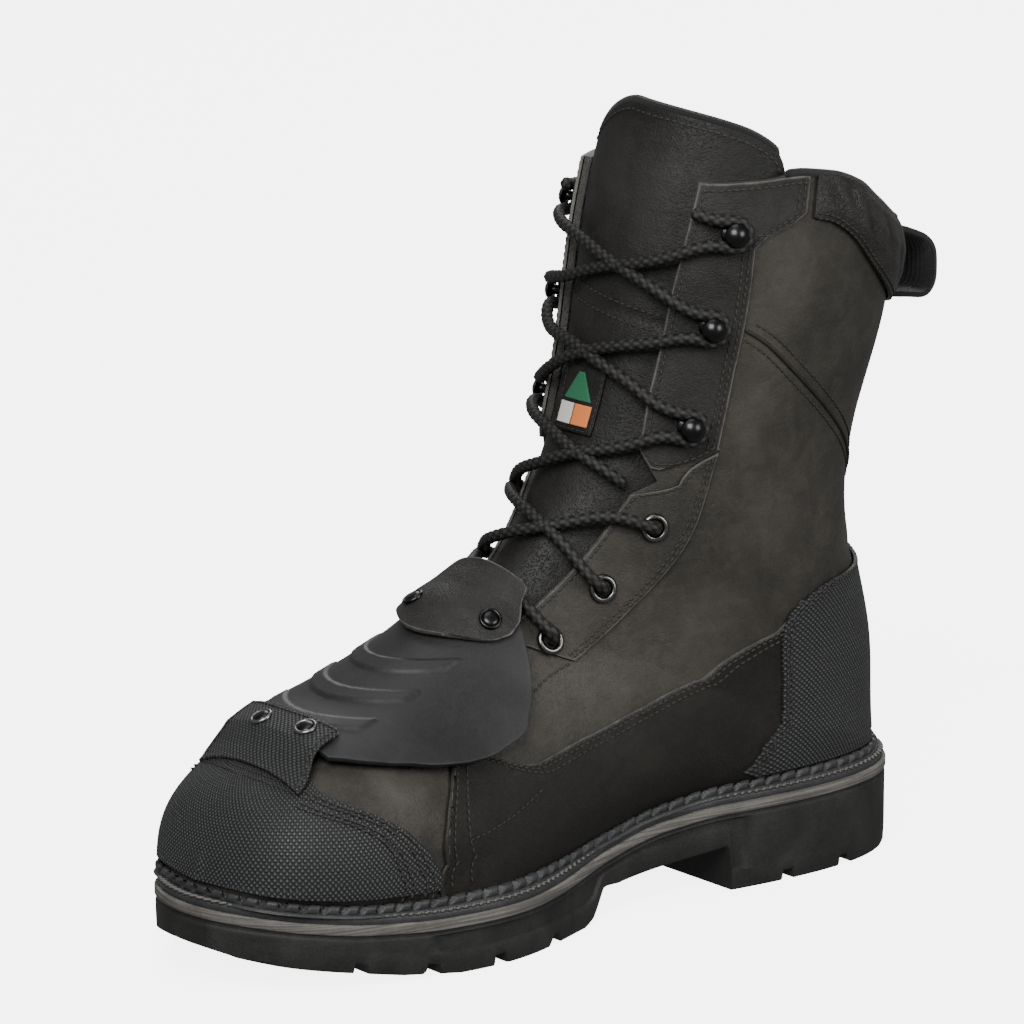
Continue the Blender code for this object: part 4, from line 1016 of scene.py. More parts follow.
def path_on(side: Side, path: Sequence[tuple[float, float]], lift: float) -> Array:
    """Smooth line in mm through (row, girth) points on one side of the upper."""
    table = np.array(path, float)
    run = np.concatenate([[0.0], np.linalg.norm(np.diff(table * (1.0, 12.0), axis=0), axis=1).cumsum()])
    fine = np.linspace(0.0, run[-1], 40 * len(path))
    rows, girths = spline(run, table)(fine).T
    return skin(side.value, rows, np.clip(girths, 0.0, 1.0), lift)


def outward_of(line: Array) -> Array:
    """Directions off the boot's surface, from its inner axis to each point."""
    axis = np.stack([np.interp(line[:, 2], (30.0, 60.0, 95.0, 130.0, 300.0), (0.0, 0.0, 0.0, 0.0, 0.0)),
                     np.zeros(len(line)), np.zeros(len(line))], -1)
    centre_x = np.where(line[:, 2] > 120.0, 70.0, np.clip(line[:, 0], 45.0, 262.0))
    centre_z = np.where(line[:, 2] > 120.0, line[:, 2] - 6.0,
                        np.interp(line[:, 0], (45.0, 160.0, 262.0), (70, 62, 38)))
    axis[:, 0], axis[:, 2] = centre_x, centre_z
    out = line - axis
    return out / np.linalg.norm(out, axis=1)[:, None]


def tube(name: str, path: Array, radius: float, looks: Sequence[Any], sides: int = 10,
         nodes: Sequence[str] = ()) -> Any:
    """Smooth tube along a path in mm."""
    points, faces, tones, flat = tube_mesh([path], radius, sides, None)
    mesh = mesh_of(name, points, faces, flat, {"tone": tones})
    return finish_piece(name, mesh, looks, nodes)


def tube_mesh(paths: Sequence[Array], radius: float, sides: int,
              braid: Callable[[Array, Array], Array] | None) \
        -> tuple[Array, list[tuple[int, ...]], Array, Array]:
    """Tubes along paths.

    Args:
        paths: centre lines in mm.
        radius: radius in mm.
        sides: points round the tube.
        braid: height of the plaits, 0 to 1, from the angle and the length.

    Returns:
        Points, faces, tones and unrolled coordinates.
    """
    points, faces, tones, flat = [], [], [], []
    first = 0
    angles = 2.0 * pi * np.arange(sides) / sides
    for path in paths:
        way = np.gradient(path, axis=0)
        way /= np.linalg.norm(way, axis=1)[:, None]
        normal = np.cross(way[0], (0.0, 0.3, 1.0))
        normals = []
        for step in way:
            normal = normal - step * (normal @ step)
            normal /= np.linalg.norm(normal)
            normals.append(normal)
        normals = np.array(normals)
        other = np.cross(way, normals)
        run = run_along(path)
        high = braid(angles[None, :], run[:, None]) if braid else np.full((len(path), sides), 0.5)
        size = radius * (1.0 + 0.2 * (high - 0.5))
        size[0] *= 0.5
        size[-1] *= 0.5
        ring = (normals[:, None, :] * np.cos(angles)[None, :, None]
                + other[:, None, :] * np.sin(angles)[None, :, None])
        points.append((path[:, None, :] + ring * size[..., None]).reshape(-1, 3))
        # Plait heights as the tone, which the cord finish paints as a highlight on the crowns and shade
        # between them.
        tones.append(high.ravel())
        flat.append(np.stack(np.broadcast_arrays(angles[None, :] * radius, run[:, None]), -1).reshape(-1, 2))
        for i in range(len(path) - 1):
            for k in range(sides):
                a, b = first + i * sides + k, first + i * sides + (k + 1) % sides
                faces.append((a, b, b + sides, a + sides))
        faces.append(tuple(first + k for k in range(sides - 1, -1, -1)))
        faces.append(tuple(first + (len(path) - 1) * sides + k for k in range(sides)))
        first += len(path) * sides
    return np.concatenate(points), faces, np.concatenate(tones), np.concatenate(flat)


# Sole.
TREAD = ((0.0, 1.6), (3.0, 0.0), (94.0, 0.0), (95.2, 16.6), (118.0, 14.2), (144.0, 11.4), (152.0, 12.0),
         (158.0, 2.2), (163.0, 0.0), (229.0, 0.0), (252.0, 2.6), (271.0, 6.2), (290.0, 9.6), (303.0, 12.2),
         (312.5, 17.0))


@dataclass
class Outsole:
    """Lugged rubber sole with its base band, side panel and set-back band."""

    stripe: float = 2.7
    band: float = 2.8
    band_inset: float = 0.9
    base_band: float = 7.5
    recess: float = 1.3
    recess_from: float = 88.0
    recess_to: float = 239.0
    grooves: tuple[float, ...] = (41.0, 69.0, 184.0, 213.0, 240.5, 268.0)
    groove_width: float = 5.0
    groove_depth: float = 3.6
    channels: tuple[float, ...] = (-19.0, 0.0, 19.0)
    across: int = 56

    def stations(self) -> Array:
        """Stations with the tread's own steps and the grooves' walls."""
        steps = [row[0] for row in TREAD]
        steps += [self.recess_from - 3.0, self.recess_from + 3.0, self.recess_to - 2.5, self.recess_to + 2.5]
        half = self.groove_width / 2.0
        steps += [x + s * (half + e) for x in self.grooves for s in (-1, 1) for e in (-0.25, 0.25)]
        even = [x for x in even_stations(230) if min(abs(x - s) for s in steps) > 0.5]
        return np.array(sorted(set(even) | set(steps)))

    def lugs(self, x: Array, y: Array) -> Array:
        """Depth of the gaps between the lugs, over the underside."""
        half = self.groove_width / 2.0
        depth = np.zeros(np.broadcast_shapes(x.shape, y.shape))
        for groove in self.grooves:
            depth = np.maximum(depth, 1.0 - ramp(np.abs(x - groove), half - 0.25, half + 0.25))
        bearing = ((x > 12.0) & (x < 84.0)) | ((x > 170.0) & (x < 280.0))
        for channel in self.channels:
            line = channel + 3.5 * np.sin(x / 9.0)
            depth = np.maximum(depth, bearing * (1.0 - ramp(np.abs(y - line), 1.3, 2.4)))
        return self.groove_depth * depth

    def build(self) -> None:
        """Build the outsole."""
        x = self.stations()
        count = len(x)
        panel = np.interp(x, (self.recess_from - 3.0, self.recess_from + 3.0, self.recess_to - 2.5,
                              self.recess_to + 2.5), (0.0, 1.0, 1.0, 0.0))
        tuck = np.interp(x, (0.0, 8.0, 296.0, LENGTH), (1.6, 1.0, 1.2, 4.5))
        panel, tuck = (np.concatenate([v, v[-2:0:-1]]) for v in (panel, tuck))
        foot = plan_loop(tuck, x)
        ledge = top_line(foot[:, 0]) - self.stripe - self.band
        tread = between(TREAD, foot[:, 0])
        base = np.minimum(tread + self.base_band, ledge - 2.5)
        low = tread + self.lugs(foot[:, 0], foot[:, 1])

        def loop(inset: Array | float, height: Array) -> Array:
            """Loop of the outline at an inset and heights."""
            return np.c_[plan_loop(inset, x), height]

        deep = 0.3 + self.recess * panel
        loops = [
            np.c_[foot, low], loop(0.55, np.minimum(low + 1.2, base - 0.6)), loop(0.3, base - 0.5),
            loop(0.35, base), loop(deep, base + 0.9), loop(deep, (base + ledge) / 2.0),
            loop(deep, ledge - 0.8), loop(0.4, ledge - 0.1), loop(self.band_inset - 0.3, ledge + 0.2),
            loop(self.band_inset, ledge + 0.45),
            loop(self.band_inset, top_line(foot[:, 0]) - self.stripe + 0.1),
        ]
        side = np.stack(loops[::-1])
        side = np.concatenate([side, side[:, :1]], 1)
        share = np.linspace(0.0, 1.0, self.across + 1)[None, :, None]
        medial = foot[:count]
        lateral = np.concatenate([foot[:1], foot[count:][::-1], foot[count - 1:count]])
        under = medial[:, None, :] * (1.0 - share) + lateral[:, None, :] * share
        height = between(TREAD, under[..., 0]) + self.lugs(under[..., 0], under[..., 1])
        under = np.concatenate([under, height[..., None]], -1)
        top = loops[-1]
        lid_m, lid_l = top[:count], np.concatenate([top[:1], top[count:][::-1], top[count - 1:count]])
        lid = np.stack([lid_m, lid_l], 1)
        side_size, under_size = (part.shape[0] * part.shape[1] for part in (side, under))
        faces = [grid_faces(*side.shape[:2])[:, ::-1], grid_faces(*under.shape[:2], first=side_size),
                 grid_faces(*lid.shape[:2], first=side_size + under_size)[:, ::-1]]
        points = np.concatenate([part.reshape(-1, 3) for part in (side, under, lid)])
        mesh = mesh_of("outsole_rubber", points, np.concatenate(faces), join=0.02)
        face_out(mesh)
        mesh.set_sharp_from_angle(angle=0.6)
        finish_piece("outsole_rubber", mesh, [OUTSOLE], ["outsole"])


def outline_ring(count: int) -> tuple[Array, Array, Array]:
    """Midsole's outline at even steps of its length.

    Args:
        count: number of points.

    Returns:
        Points, inward directions, and length from the back of the heel, in mm.
    """
    loop = plan_loop(0.0, even_stations(600))
    loop = np.concatenate([loop, loop[:1]])
    run = run_along(loop)
    spots = np.linspace(0.0, run[-1], count, endpoint=False)
    points = np.stack([np.interp(spots, run, loop[:, k]) for k in (0, 1)], -1)
    way = np.roll(points, -2, 0) - np.roll(points, 2, 0)
    way /= np.linalg.norm(way, axis=1)[:, None]
    return points, np.c_[way[:, 1], -way[:, 0]], spots


@dataclass
class Welt:
    """Midsole stripe and storm welt: ledge, whip stitches, bead and toothed lip."""

    stripe: float = 2.7
    ring_count: int = 1400
    tooth_pitch: float = 7.22
    notch: float = 0.36
    lean: float = 0.55
    lip_out: float = 3.9
    whip_pitch: float = 3.1
    whip_radius: float = 0.78

    def __post_init__(self) -> None:
        """Lay the ring out."""
        self.points, self.inward, self.run = outline_ring(self.ring_count)
        self.top = top_line(self.points[:, 0])

    def loop(self, inset: Array | float, height: Array | float) -> Array:
        """Loop at an inset and a height over the midsole."""
        flat = self.points + self.inward * np.reshape(inset, (-1, 1))
        return np.c_[flat, top_line(flat[:, 0]) + height]

    def midsole(self) -> None:
        """Grey stripe."""
        levels = ((2.2, -4.1), (0.6, -4.05), (0.2, -3.9), (0.0, -3.5), (0.0, -0.75), (0.12, -0.45),
                  (0.45, -0.3), (3.0, -0.28))
        closed_loft("midsole_stripe", [self.loop(i, h) for i, h in levels], [STRIPE],
                    ["midsole"])

    def reach(self) -> Array:
        """Room between the outline and the upper at the lip's height, for each point."""
        out = []
        cloud = []
        rows, girths = np.linspace(HEEL_ROW - 2.0, TOE_ROW, 320), np.linspace(0.30, 1.0, 90)
        for side in (1, -1):
            mesh = skin(side, rows[:, None], girths[None, :])
            over = mesh[..., 2] - top_line(mesh[..., 0])
            cloud.append(mesh[(over > WELT_THICK) & (over < LIP_HEIGHT + 0.4)][:, :2])
        cloud = np.concatenate(cloud)
        along = np.c_[-self.inward[:, 1], self.inward[:, 0]]
        for here, inward, way in zip(self.points, self.inward, along):
            apart = cloud - here
            near = np.abs(apart @ way) < 3.5
            out.append(float((apart[near] @ inward).min()) if near.any() else FEATHER_INSET)
        out = np.array(out)
        kernel = np.ones(9) / 9.0
        return np.convolve(np.concatenate([out[-4:], out, out[:4]]), kernel, "valid")

    def lip(self) -> None:
        """Ledge, bead and toothed lip in one band of rubber."""
        room = self.reach()
        inner = np.minimum(room - 0.3, self.lip_out + 1.9)
        outer = np.minimum(self.lip_out, inner - 1.1)

        def tooth(height: float) -> Array:
            """How deep the notches cut at a height, 0 to 1 round the ring."""
            phase = ((self.run + self.lean * (height - 3.6)) / self.tooth_pitch) % 1.0
            gap = np.abs(phase - 0.5) * 2.0
            width = np.interp(height, (3.4, 3.9, 4.6, 6.4), (0.06, 0.26, self.notch, self.notch + 0.04))
            return 1.0 - ramp(gap, width - 0.07, width + 0.07)

        loops = [self.loop(1.35, -0.3), self.loop(1.2, 0.0), self.loop(1.15, 1.7), self.loop(1.4, 2.15),
                 self.loop(outer - 1.3, 2.3), self.loop(outer - 1.0, 2.35), self.loop(outer - 1.05, 2.75),
                 self.loop(outer - 0.8, 3.15), self.loop(outer - 0.35, 3.3), self.loop(outer - 0.1, 3.32)]
        for height, bulge in ((3.45, -0.15), (3.7, -0.45), (4.1, -0.6), (4.7, -0.7), (5.3, -0.7), (5.8, -0.5),
                              (6.2, -0.15)):
            cut = tooth(height)
            loops.append(self.loop(outer + bulge + cut * (inner + 0.5 - outer - bulge), height))
        cut = tooth(6.4)
        loops.append(self.loop(outer + 0.35 * (inner - outer) + cut * 1.2, 6.45 - 2.4 * cut))
        loops.append(self.loop(inner, 6.4 - 2.7 * cut))
        loops.append(self.loop(inner + 0.9, 5.2 - 1.6 * cut))
        closed_loft("welt_lip", loops, [LIP], ["storm_welt"])
        whip = Thread("welt_whip_stitches", WELT_THREAD)
        for turn, inset, pitch, share, tilt in ((0, 0.75, self.whip_pitch, 1.05, 0.62),
                                                (1, 1.45, self.whip_pitch, 0.7, -0.35)):
            line = np.c_[self.points + self.inward * (1.2 + inset), self.top + 2.15 - 0.2 * turn]
            line = np.concatenate([line, line[:1]])
            whip.row(line, np.tile((0.0, 0.0, 1.0), (len(line), 1)), pitch, self.whip_radius - 0.12 * turn,
                     share, tilt)
        whip.done()

    def build(self) -> None:
        """Build the stripe and the lip."""
        self.midsole()
        self.lip()


# Upper.
@dataclass
class Upper:
    """Hollow leather upper, with the panels and seams that are laid over it."""

    rows_down: int = 170
    columns_round: int = 84
    foxing_rows: tuple[float, float, int] = (7.6, 16.75, 160)
    foxing_top: tuple[tuple[float, float], ...] = (
        (7.6, 0.575), (8.2, 0.522), (8.72, 0.465), (9.33, 0.42), (10.15, 0.384), (11.0, 0.377), (11.6, 0.376),
        (12.58, 0.383), (13.38, 0.395), (14.03, 0.40), (14.58, 0.398), (14.74, 0.385), (14.84, 0.34),
        (15.0, 0.24))
    vamp_seam: tuple[tuple[float, float], ...] = (
        (14.85, 0.20), (15.1, 0.288), (15.43, 0.31), (15.7, 0.335), (15.98, 0.367), (16.23, 0.408),
        (16.4, 0.45), (16.5, 0.50), (16.57, 0.56), (16.62, 0.63), (16.66, 0.72), (16.70, 0.84), (16.72, 0.99))
    back_seam: tuple[tuple[float, float], ...] = (
        (3.25, 0.36), (3.43, 0.41), (3.8, 0.485), (4.08, 0.547), (4.45, 0.633), (4.8, 0.718), (5.15, 0.802),
        (5.5, 0.90), (5.75, 0.99))
    creases: tuple[tuple[tuple[tuple[float, float], ...], float, float], ...] = (
        (((5.3, 0.47), (5.7, 0.55), (6.0, 0.66), (6.1, 0.8)), 0.55, 3.2),
        (((5.9, 0.44), (6.4, 0.52), (6.8, 0.62), (7.0, 0.76)), 0.7, 3.6),
        (((6.7, 0.42), (7.3, 0.48), (7.7, 0.55)), 0.55, 3.0),
        (((6.2, 0.72), (6.5, 0.82), (6.6, 0.95)), 0.6, 3.4),
        (((2.3, 0.42), (3.2, 0.45), (4.3, 0.44)), 0.35, 5.0),
        (((2.9, 0.62), (3.7, 0.68), (4.4, 0.70)), 0.4, 5.0),
        (((4.3, 0.80), (4.9, 0.86), (5.4, 0.97)), 0.5, 3.6),
        (((9.2, 0.34), (9.9, 0.36), (10.6, 0.35)), 0.25, 2.6),
        (((16.1, 0.24), (16.35, 0.33), (16.6, 0.42)), 0.3, 2.4),
        (((16.5, 0.2), (16.8, 0.28), (16.95, 0.35)), 0.3, 2.2),
    )
    # Lighter patches as row, girth, reach in rows, reach in girth and strength; the one at row 16.6 on the
    # vamp below the guard is a painted highlight.
    patches: tuple[tuple[float, float, float, float, float], ...] = (
        (12.2, 0.30, 1.3, 0.06, 0.28), (8.6, 0.40, 1.6, 0.08, 0.18), (3.6, 0.43, 1.4, 0.06, 0.12),
        (16.6, 0.28, 0.35, 0.07, 0.34), (6.0, 0.47, 1.2, 0.07, 0.10), (4.7, 0.42, 0.8, 0.05, 0.12),
        (10.2, 0.33, 0.8, 0.05, 0.16), (2.4, 0.42, 0.5, 0.05, 0.16), (13.6, 0.36, 0.7, 0.04, 0.12),
    )

    def tone(self, side: Side, row: Array, girth: Array) -> Array:
        """Lighter patches: rubbed wear, and on the vamp below the guard a painted highlight."""
        tone = np.zeros(row.shape)
        for r, g, dr, dg, light in self.patches:
            tone += light * np.exp(-((row - r) / dr) ** 2 - ((girth - g) / dg) ** 2)
        strength = 1.0 if side is Side.MEDIAL else 0.7
        return 0.12 + strength * tone

    def crease_depth(self, side: Side, points: Array) -> Array:
        """Sum of the creases' depths at points."""
        depth = np.zeros(len(points))
        for path, deep, wide in self.creases:
            line = path_on(side, path, 0.0)[::6]
            apart = ((points ** 2).sum(1)[:, None] + (line ** 2).sum(1)[None, :] - 2.0 * points @ line.T)
            near, spot = np.clip(apart.min(1), 0.0, None), apart.argmin(1)
            share = spot / (len(line) - 1.0)
            fade = np.clip(4.0 * share * (1.0 - share) + 0.15, 0.0, 1.0)
            depth += deep * fade * (np.exp(-near / wide ** 2) - 0.45 * np.exp(-near / (2.2 * wide) ** 2))
        return depth

    def half(self, side: Side) -> Grid:
        """Outer face of one side."""
        shaft = np.linspace(0.0, 9.9, int(self.rows_down * 0.52))
        foot = 10.0 + 10.0 * (1.0 - np.linspace(1.0, 0.0, self.rows_down - len(shaft)) ** 1.25)
        rows = np.concatenate([shaft, foot])
        front = between(THROAT, warped(rows, np.array(0.22)))
        share = np.linspace(0.0, 1.0, self.columns_round)[None, :]
        girth = front[:, None] + (1.0 - front[:, None]) * share
        row = warped(rows[:, None], girth)
        plain = skin(side.value, row, girth)
        depth = self.crease_depth(side, plain.reshape(-1, 3)).reshape(row.shape)
        points = skin(side.value, row, girth, -depth)
        grid = Grid(outward(side, points))
        grid.values = {"tone": outward(side, self.tone(side, row, girth)), "rim": np.zeros(row.shape)}
        return grid

    def foxing(self, side: Side) -> Grid:
        """Lower panel between the counter, the quarter and the vamp."""
        rows = np.linspace(*self.foxing_rows)
        top = eased(self.foxing_top, 0.26)(rows)
        vamp = eased(tuple((g, r) for r, g in self.vamp_seam), 0.02)
        low = np.maximum(low_edge(side.value, rows, 3.4), top + 0.02)
        share = np.linspace(0.0, 1.0, 56)[None, :]
        girth = top[:, None] + (low - top)[:, None] * share
        row = np.minimum(rows[:, None], vamp(girth))
        points = skin(side.value, row, girth, 0.9)
        grid = Grid(outward(side, points))
        # Painted highlight along the vamp seam and the panel's top edge.
        rim = np.exp(-(vamp(girth) - row) * 22.0) + np.exp(-(girth - top[:, None]) * 130.0)
        rim = np.clip(rim, 0.0, 1.0)
        tone = self.tone(side, row, girth) - 0.1
        grid.values = {"tone": outward(side, tone), "rim": outward(side, rim) * 0.8}
        return grid

    def shifted(self, path: Sequence[tuple[float, float]], rows: float,
                girth: float) -> list[tuple[float, float]]:
        """Path moved by rows and girth."""
        return [(r + rows, g + girth) for r, g in path]

    def build(self) -> None:
        """Build the upper, its panels, its piping and its stitches."""
        medial, lateral = self.half(Side.MEDIAL), self.half(Side.LATERAL)
        sheet("upper_leather", [medial, lateral], LEATHER, [QUARTER, LINING], ["upper"], 0.12,
              0.45, True)
        thread = Thread("upper_stitches")
        for side in Side:
            where = side.name.lower()
            panel = self.foxing(side)
            sheet(f"foxing_{where}", [panel], 0.9, [FOXING], join=0.02)
            top, _ = front_and_rear(side)
            for depth in (1.5, 3.3, 6.8):
                thread.on_grid(panel, top, depth)
            for offset in (-0.11, -0.33):
                thread.on_face(side, self.shifted(self.vamp_seam[1:-1], offset, 0.0), 0.95)
            tube(f"vamp_piping_{where}", path_on(side, self.vamp_seam[:-1], 0.75)[::3], 0.85, [FOXING])
            tube(f"back_piping_{where}", path_on(side, self.back_seam, 0.25)[::3], 0.75, [FOXING])
            for rows, girth in ((0.13, -0.004), (-0.12, 0.012)):
                thread.on_face(side, self.shifted(self.back_seam, rows, girth), 0.05)
            thread.on_face(side, ((16.15, 0.457), (15.5, 0.452), (14.8, 0.44)), 0.95)
        thread.done()


@dataclass
class ToeCap:
    """Woven cap over the toe, with a stitched border along its rear edge."""

    rear: Table = ((0.0, 17.55), (0.15, 17.60), (0.215, 17.78), (0.27, 17.55), (0.333, 17.12), (0.385, 16.80),
                   (0.435, 16.66), (0.60, 16.62), (1.0, 16.80))
    rows: int = 90
    columns: int = 90

    def half(self, side: Side) -> Grid:
        """Outer face of one side."""
        share = np.linspace(0.0, 1.0, self.rows)[:, None] ** 0.85
        girth = np.linspace(0.0, 1.0, self.columns)
        rear = eased(self.rear, 0.03)
        start = rear(girth)[None, :]
        row = start + (20.0 - start) * share
        low = low_edge(side.value, row.max(1), OVERLAY_FOOT)
        fine = np.stack([low_edge(side.value, row[:, k], OVERLAY_FOOT) for k in (0, -1)]).min(0)
        limit = np.minimum(fine, np.maximum(low, 0.4))
        turn = np.minimum(np.broadcast_to(girth, row.shape), 1.0) * limit[:, None]
        row = np.minimum(rear(turn) + (20.0 - rear(turn)) * share, 20.0)
        points = face(side.value * turn, row, OVERLAY_TOP)
        return Grid(outward(side, points), wrap=TOE_FORM)

    def build(self) -> None:
        """Build the cap and its stitches."""
        halves = [self.half(side) for side in Side]
        cap = sheet("toe_cap_weave", halves, 1.1, [WEAVE], ["toe_cap"], 0.15, 0.4)
        even = cap.modifiers.new("even face", "CORRECTIVE_SMOOTH")
        even.use_only_smooth, even.use_pin_boundary = True, True
        even.iterations, even.factor = 24, 0.5
        cap.modifiers.move(len(cap.modifiers) - 1, 0)
        thread = Thread("toe_cap_stitches")
        for side in Side:
            path = [(float(steady(self.rear)(np.array(g))), float(g)) for g in np.linspace(0.215, 0.9, 14)]
            for offset in (0.10, 0.20, 0.36, 0.46):
                thread.on_face(side, [(r + offset, g) for r, g in path], OVERLAY_TOP + 0.05,
                               pitch=WOVEN_PITCH, radius=WOVEN_THREAD + 0.02)
            for rows in (0.0, 0.13):
                seam = [(18.18 + rows, 0.0), (18.1 + rows, 0.118), (17.98 + rows, 0.177),
                        (17.86 + rows * 0.6, 0.235)]
                thread.on_face(side, seam, OVERLAY_TOP - 0.1, pitch=WOVEN_PITCH, radius=WOVEN_THREAD + 0.02)
        thread.done()


@dataclass
class HeelCounter:
    """Woven counter round the heel, double stitched along its front and top edges."""

    front: Table = ((6.40, 1.0), (6.7, 0.83), (6.9, 0.682), (7.28, 0.615), (7.68, 0.56), (7.9, 0.535),
                    (8.18, 0.52), (8.68, 0.512), (9.2, 0.505), (9.8, 0.491), (10.5, 0.487), (11.2, 0.497),
                    (12.1, 0.583), (12.9, 0.763), (13.15, 0.84))
    rows: int = 110
    columns: int = 50
    lift: float = 1.9

    def half(self, side: Side) -> Grid:
        """Outer face of one side."""
        rows = np.linspace(6.42, 13.1, self.rows)
        low = low_edge(side.value, rows, OVERLAY_FOOT)
        low = np.where(rows < 9.2, 1.0, low)
        front = np.minimum(eased(self.front, 0.42)(np.maximum(rows, 6.44)), low - 0.02)
        share = np.linspace(0.0, 1.0, self.columns)[None, :]
        turn = front[:, None] + (low - front)[:, None] * share
        points = face(side.value * turn, rows[:, None], self.lift)
        return Grid(outward(side, points), wrap=HEEL_FORM)

    def build(self) -> None:
        """Build the counter and its stitches."""
        halves = [self.half(side) for side in Side]
        sheet("heel_counter_weave", halves, 1.1, [WEAVE], ["heel_counter"], 0.15, 0.4)
        thread = Thread("heel_counter_stitches")
        for side, grid in zip(Side, halves):
            border, _ = front_and_rear(side)
            for depth in (1.9, 3.9):
                thread.on_grid(grid, border, depth, pitch=WOVEN_PITCH, radius=WOVEN_THREAD)
        thread.done()


@dataclass
class HookFacing:
    """Facings that carry the hooks, from the collar to the notch."""

    rear: Table = ((0.60, 0.455), (1.25, 0.455), (1.45, 0.425), (1.68, 0.372), (1.90, 0.352), (3.85, 0.355),
                   (5.60, 0.368))
    foot: Table = ((0.250, 5.62), (0.265, 5.58), (0.320, 5.32), (0.370, 5.08))

    def grid(self, side: Side) -> Grid:
        """Outer face of one side."""
        rows = np.linspace(0.02, 5.58, 120)
        front = between(THROAT, warped(rows, np.array(0.22))) + 0.003
        rear = between(self.rear, warped(rows, np.array(0.4)))
        share = np.linspace(0.0, 1.0, 34)[None, :]
        girth = front[:, None] + (rear - front)[:, None] * share
        row = warped(rows[:, None], girth)
        limit = between(self.foot, girth)
        row = np.minimum(row, limit - 0.012 * np.arange(len(rows))[::-1, None] / 10.0)
        points = face(side.value * girth, row, OVERLAY_TOP)
        grid = Grid(outward(side, points))
        # rim: painted highlight along the facing's edges.
        grid.values = {"rim": grid.rim(0.7), "tone": np.full(row.shape, 0.12)}
        return grid

    def build(self) -> None:
        """Build both facings and their stitches."""
        thread = Thread("facing_stitches")
        for side in Side:
            where = side.name.lower()
            grid = self.grid(side)
            sheet(f"hook_facing_leather_{where}", [grid], 1.1, [FACING],
                  [f"hook_facing_{where}"],
                  0.02)
            front, rear = front_and_rear(side)
            thread.on_grid(grid, front, 2.2)
            thread.on_grid(grid, rear, 2.0)
            thread.on_grid(grid, rear, 4.2)
            thread.on_grid(grid, Border.TOP, 2.4)
            thread.on_grid(grid, Border.FOOT, 2.2)
        thread.done()


@dataclass
class Eyestay:
    """Stays that carry the eyelets, from the notch down under the guard."""

    top: Table = ((0.0, 6.14), (0.333, 5.88), (0.667, 5.48), (1.0, 5.16))
    rear: Table = ((5.00, 0.368), (6.15, 0.365), (6.78, 0.352), (7.75, 0.320), (8.72, 0.290), (10.0, 0.258),
                   (12.5, 0.265), (13.0, 0.28))

    def grid(self, side: Side) -> Grid:
        """Outer face of one side."""
        share = np.linspace(0.0, 1.0, 36)[None, :]
        start = between(self.top, share)
        row = start + (11.2 - start) * np.linspace(0.0, 1.0, 110)[:, None]
        front = between(THROAT, row) + 0.003
        girth = front + (eased(self.rear, 0.4)(row) - front) * share
        points = face(side.value * girth, row, OVERLAY_TOP)
        grid = Grid(outward(side, points))
        # rim: painted highlight along the stay's edges.
        grid.values = {"rim": grid.rim(0.7), "tone": np.full(row.shape, 0.12)}
        return grid

    def build(self) -> None:
        """Build both stays and their stitches."""
        thread = Thread("eyestay_stitches")
        for side in Side:
            where = side.name.lower()
            grid = self.grid(side)
            sheet(f"eyestay_leather_{where}", [grid], 1.1, [QUARTER], [f"eyestay_{where}"], 0.02)
            front, rear = front_and_rear(side)
            thread.on_grid(grid, front, 2.0)
            for depth in (1.8, 3.8):
                thread.on_grid(grid, rear, depth)
            thread.on_grid(grid, Border.TOP, 2.0)
            thread.on_face(side, ((11.2, 0.262), (12.5, 0.268), (13.2, 0.285)), 0.05)
        thread.done()


@dataclass
class CollarPad:
    """Padded collar round the back, bound along its top edge."""

    seam: Table = ((0.470, 1.30), (0.515, 1.34), (0.565, 1.53), (0.65, 2.15), (0.713, 2.48), (0.80, 2.75),
                   (1.0, 2.95))
    wrinkles: tuple[tuple[float, float, float], ...] = (
        (0.52, 0.45, 1.0), (0.56, 0.3, 0.8), (0.61, 0.5, 1.0), (0.67, 0.35, 0.7), (0.74, 0.55, 0.9),
        (0.84, 0.4, 0.8), (1.0, 0.5, 0.7), (1.17, 0.4, 0.9), (1.3, 0.5, 0.7), (1.41, 0.4, 0.9),
        (1.47, 0.5, 0.8))

    def build(self) -> None:
        """Build the pad, its binding and its stitches."""
        turns = np.linspace(0.475, 1.525, 190)
        girth = np.where(turns > 1.0, 2.0 - turns, turns)
        share = np.linspace(0.0, 1.0, 40)[:, None]
        start, foot = steady(COLLAR)(girth) - 0.02, steady(self.seam)(girth)
        row = start[None, :] * (1.0 - share) + foot[None, :] * share
        swell = np.interp(share, (0.0, 0.12, 0.4, 0.7, 0.92, 1.0), (0.0, 2.0, 3.6, 3.0, 1.0, 0.0))
        swell = swell * np.clip((girth - 0.475) / 0.12, 0.0, 1.0)[None, :]
        fold = np.zeros(row.shape)
        for turn, middle, deep in self.wrinkles:
            line = turns[None, :] - turn - 0.05 * (share - middle)
            fold += deep * np.exp(-(line / 0.011) ** 2) * np.exp(-((share - middle) / 0.26) ** 2)
        outer = Grid(face(turns[None, :], row, 1.7 + swell - 0.8 * fold * np.clip(swell, 0.0, 1.0)))
        # Tone darker along the wrinkles' folds: painted shade.
        outer.values = {"tone": 0.15 - 0.2 * fold, "rim": np.zeros(row.shape)}
        pad = block("collar_pad_leather", outer, face(turns[None, :], row, 0.5), [PADDED],
                    ["collar_pad"])
        edge_turns = np.linspace(0.40, 1.60, 150)
        edge_girth = np.where(edge_turns > 1.0, 2.0 - edge_turns, edge_turns)
        line = face(edge_turns, steady(COLLAR)(edge_girth) - 0.03, 0.2)
        tube("collar_binding", line, 1.5, [BINDING], 12)
        thread = Thread("collar_stitches")
        for depth in (1.2, 3.0):
            thread.on_grid(outer, Border.FOOT, -1.0 + depth)
        thread.done()


